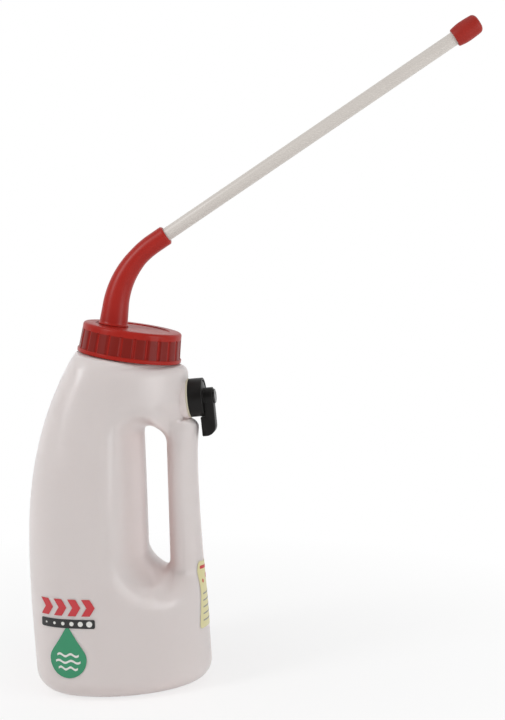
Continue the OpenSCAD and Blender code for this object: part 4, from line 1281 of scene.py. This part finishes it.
INK_GREEN = ink("green_ink", (0.03, 0.27, 0.13), (0.02, 0.22, 0.105))
INK_PALE = ink("pale_ink", (0.72, 0.71, 0.68), (0.66, 0.65, 0.62))
INK_GREY = ink("grey_ink", (0.25, 0.25, 0.24), (0.2, 0.2, 0.19))


# The pieces on their bodies

settle(make_jug(), MILKY, "jug_body", "milky_plastic", "jug")
settle(make_cap(), RED_SHADED_PADS, "cap", "red_plastic", "cap")
settle(make_elbow(), RED, "elbow", "red_plastic", "elbow")
settle(make_tube(), WHITE, "drench_tube", "white_plastic", "tube")
settle(make_tip(), RED_RUBBER, "drench_tube", "red_rubber", "tip")
settle(make_gasket(), GASKET, "jug_body", "natural_rubber", "valve_gasket")
settle(make_housing(), BLACK, "jug_body", "black_plastic", "valve_housing")
settle(make_lever(), BLACK, "lever", "black_plastic", "speed_lever")
settle(make_hub_cap(), BLACK_GLOSS, "lever", "black_plastic", "hub_cap")

green, black, red, pale = make_front_label()
settle(green, INK_GREEN, "jug_body", "front_print", "front_label")
settle(black, INK_BLACK, "jug_body", "front_print")
settle(red, INK_RED, "jug_body", "front_print")
settle(pale, INK_PALE, "jug_body", "front_print")
film, dots, lines = make_back_label()
settle(film, FILM, "jug_body", "back_print", "back_label")
settle(dots, INK_RED, "jug_body", "back_print")
settle(lines, INK_GREY, "jug_body", "back_print")

KEPT_NODES = {
    "cap_liner": SEAL, "elbow_o_ring": SEAL, "tube_o_ring": SEAL, "rotor_seal": SEAL, "check_disc": SEAL,
    "elbow_nut": RED, "valve_backnut": BLACK, "port_plate": BLACK, "check_cage": BLACK,
    "lever_screw": STEEL, "lever_washer": STEEL,
}
for name, finish in KEPT_NODES.items():
    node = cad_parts[name]
    node.data.materials.clear()
    node.data.materials.append(finish)


# Stage, light and camera

def make_floor():
    """Pale floor that keeps the object's shadow, and turns plain white away from it."""
    bm = bmesh.new()
    bmesh.ops.create_grid(bm, x_segments=8, y_segments=8, size=FLOOR_HALF)
    floor = as_object("floor", bm, Matrix.Translation((0, 0, -FLOOR_DROP)))
    material = bpy.data.materials.new("pale_floor")
    material.use_nodes = True
    material.cycles.emission_sampling = "NONE"
    tree = material.node_tree
    out = tree.nodes["Material Output"]
    paint = tree.nodes["Principled BSDF"]
    set_inputs(paint, Base_Color=(FLOOR_GREY, FLOOR_GREY, FLOOR_GREY, 1), Roughness=0.9)
    glow = add_node(tree, "ShaderNodeEmission")
    set_inputs(glow, Color=(1, 1, 1, 1))
    ray = add_node(tree, "ShaderNodeLightPath")
    where = add_node(tree, "ShaderNodeTexCoord")
    far = add_node(tree, "ShaderNodeVectorMath", operation="LENGTH")
    fade = add_node(tree, "ShaderNodeMapRange")
    set_inputs(fade, From_Min=SHADOW_NEAR, From_Max=SHADOW_FAR, To_Min=SHADOW_WHITE)
    mirrored = add_node(tree, "ShaderNodeMath", operation="MAXIMUM")
    seen = add_node(tree, "ShaderNodeMath", operation="MAXIMUM")
    share = add_node(tree, "ShaderNodeMath", operation="MULTIPLY")
    mix = add_node(tree, "ShaderNodeMixShader")
    link = tree.links.new
    link(where.outputs["Object"], far.inputs[0])
    link(far.outputs["Value"], fade.inputs["Value"])
    link(ray.outputs["Is Glossy Ray"], mirrored.inputs[0])
    link(ray.outputs["Is Transmission Ray"], mirrored.inputs[1])
    link(ray.outputs["Is Camera Ray"], seen.inputs[0])
    link(mirrored.outputs["Value"], seen.inputs[1])
    link(seen.outputs["Value"], share.inputs[0])
    link(fade.outputs["Result"], share.inputs[1])
    link(share.outputs["Value"], mix.inputs["Fac"])
    link(paint.outputs["BSDF"], mix.inputs[1])
    link(glow.outputs["Emission"], mix.inputs[2])
    link(mix.outputs["Shader"], out.inputs["Surface"])
    floor.data.materials.append(material)


def make_world():
    """White backdrop to the camera; a pale room all round, dimmer in reflections but for the backdrop."""
    world = bpy.data.worlds.new("studio")
    bpy.context.scene.world = world
    world.use_nodes = True
    world.cycles.sampling_method = "NONE"
    tree = world.node_tree
    sky = tree.nodes["Background"]
    set_inputs(sky, Color=(1, 1, 1, 1))
    ray = add_node(tree, "ShaderNodeLightPath")
    where = add_node(tree, "ShaderNodeTexCoord")
    part = add_node(tree, "ShaderNodeSeparateXYZ")
    backdrop = add_node(tree, "ShaderNodeMapRange", interpolation_type="SMOOTHSTEP")
    set_inputs(backdrop, From_Min=BACKDROP_FROM, From_Max=BACKDROP_FULL, To_Min=REFLECTED_LEVEL)
    reflected = add_node(tree, "ShaderNodeMath", operation="MAXIMUM")
    room = add_node(tree, "ShaderNodeMix", data_type="FLOAT")
    set_inputs(room, A=ROOM_LEVEL)
    seen = add_node(tree, "ShaderNodeMix", data_type="FLOAT")
    set_inputs(seen, B=1.0)
    link = tree.links.new
    link(where.outputs["Generated"], part.inputs["Vector"])
    link(part.outputs["Y"], backdrop.inputs["Value"])
    link(ray.outputs["Is Glossy Ray"], reflected.inputs[0])
    link(ray.outputs["Is Transmission Ray"], reflected.inputs[1])
    link(reflected.outputs["Value"], room.inputs["Factor"])
    link(backdrop.outputs["Result"], room.inputs["B"])
    link(ray.outputs["Is Camera Ray"], seen.inputs["Factor"])
    link(room.outputs["Result"], seen.inputs["A"])
    link(seen.outputs["Result"], sky.inputs["Strength"])


def soft_light(name, place, size, power):
    """Broad lamp in metres and watts, turned to the object's middle."""
    light = bpy.data.lights.new(name, "AREA")
    light.shape = "RECTANGLE"
    light.size, light.size_y = size
    light.energy = power
    lamp = bpy.data.objects.new(name, light)
    lamp.location = place
    lamp.rotation_mode = "QUATERNION"
    lamp.rotation_quaternion = (LIT_MIDDLE - Vector(place)).to_track_quat("-Z", "Y")
    bpy.context.scene.collection.objects.link(lamp)


def make_camera():
    a, e = CAMERA_AZIMUTH, CAMERA_ELEVATION
    back = Vector((sin(a) * cos(e), -cos(a) * cos(e), sin(e)))
    right = Vector((cos(a), sin(a), 0))
    up = back.cross(right)
    across = right * cos(CAMERA_ROLL) + up * sin(CAMERA_ROLL)
    upward = up * cos(CAMERA_ROLL) - right * sin(CAMERA_ROLL)
    data = bpy.data.cameras.new("camera")
    data.sensor_width = SENSOR
    data.lens = FOCAL_PIXELS / FRAME_LONG_SIDE * SENSOR
    camera = bpy.data.objects.new("camera", data)
    turn = Matrix((across, upward, back)).transposed()
    camera.matrix_world = Matrix.Translation(CAMERA_TARGET + back * CAMERA_DISTANCE) @ turn.to_4x4()
    bpy.context.scene.collection.objects.link(camera)
    bpy.context.scene.camera = camera


make_floor()
make_world()
soft_light("key", place=(-1.1, -0.9, 1.1), size=(0.4, 0.9), power=11.5)
soft_light("side", place=(1.6, -0.65, 0.42), size=(0.9, 1.2), power=12.5)
soft_light("top", place=(0.0, -0.3, 1.9), size=(0.8, 0.8), power=2.5)
make_camera()
bpy.context.scene.view_settings.view_transform = "Standard"
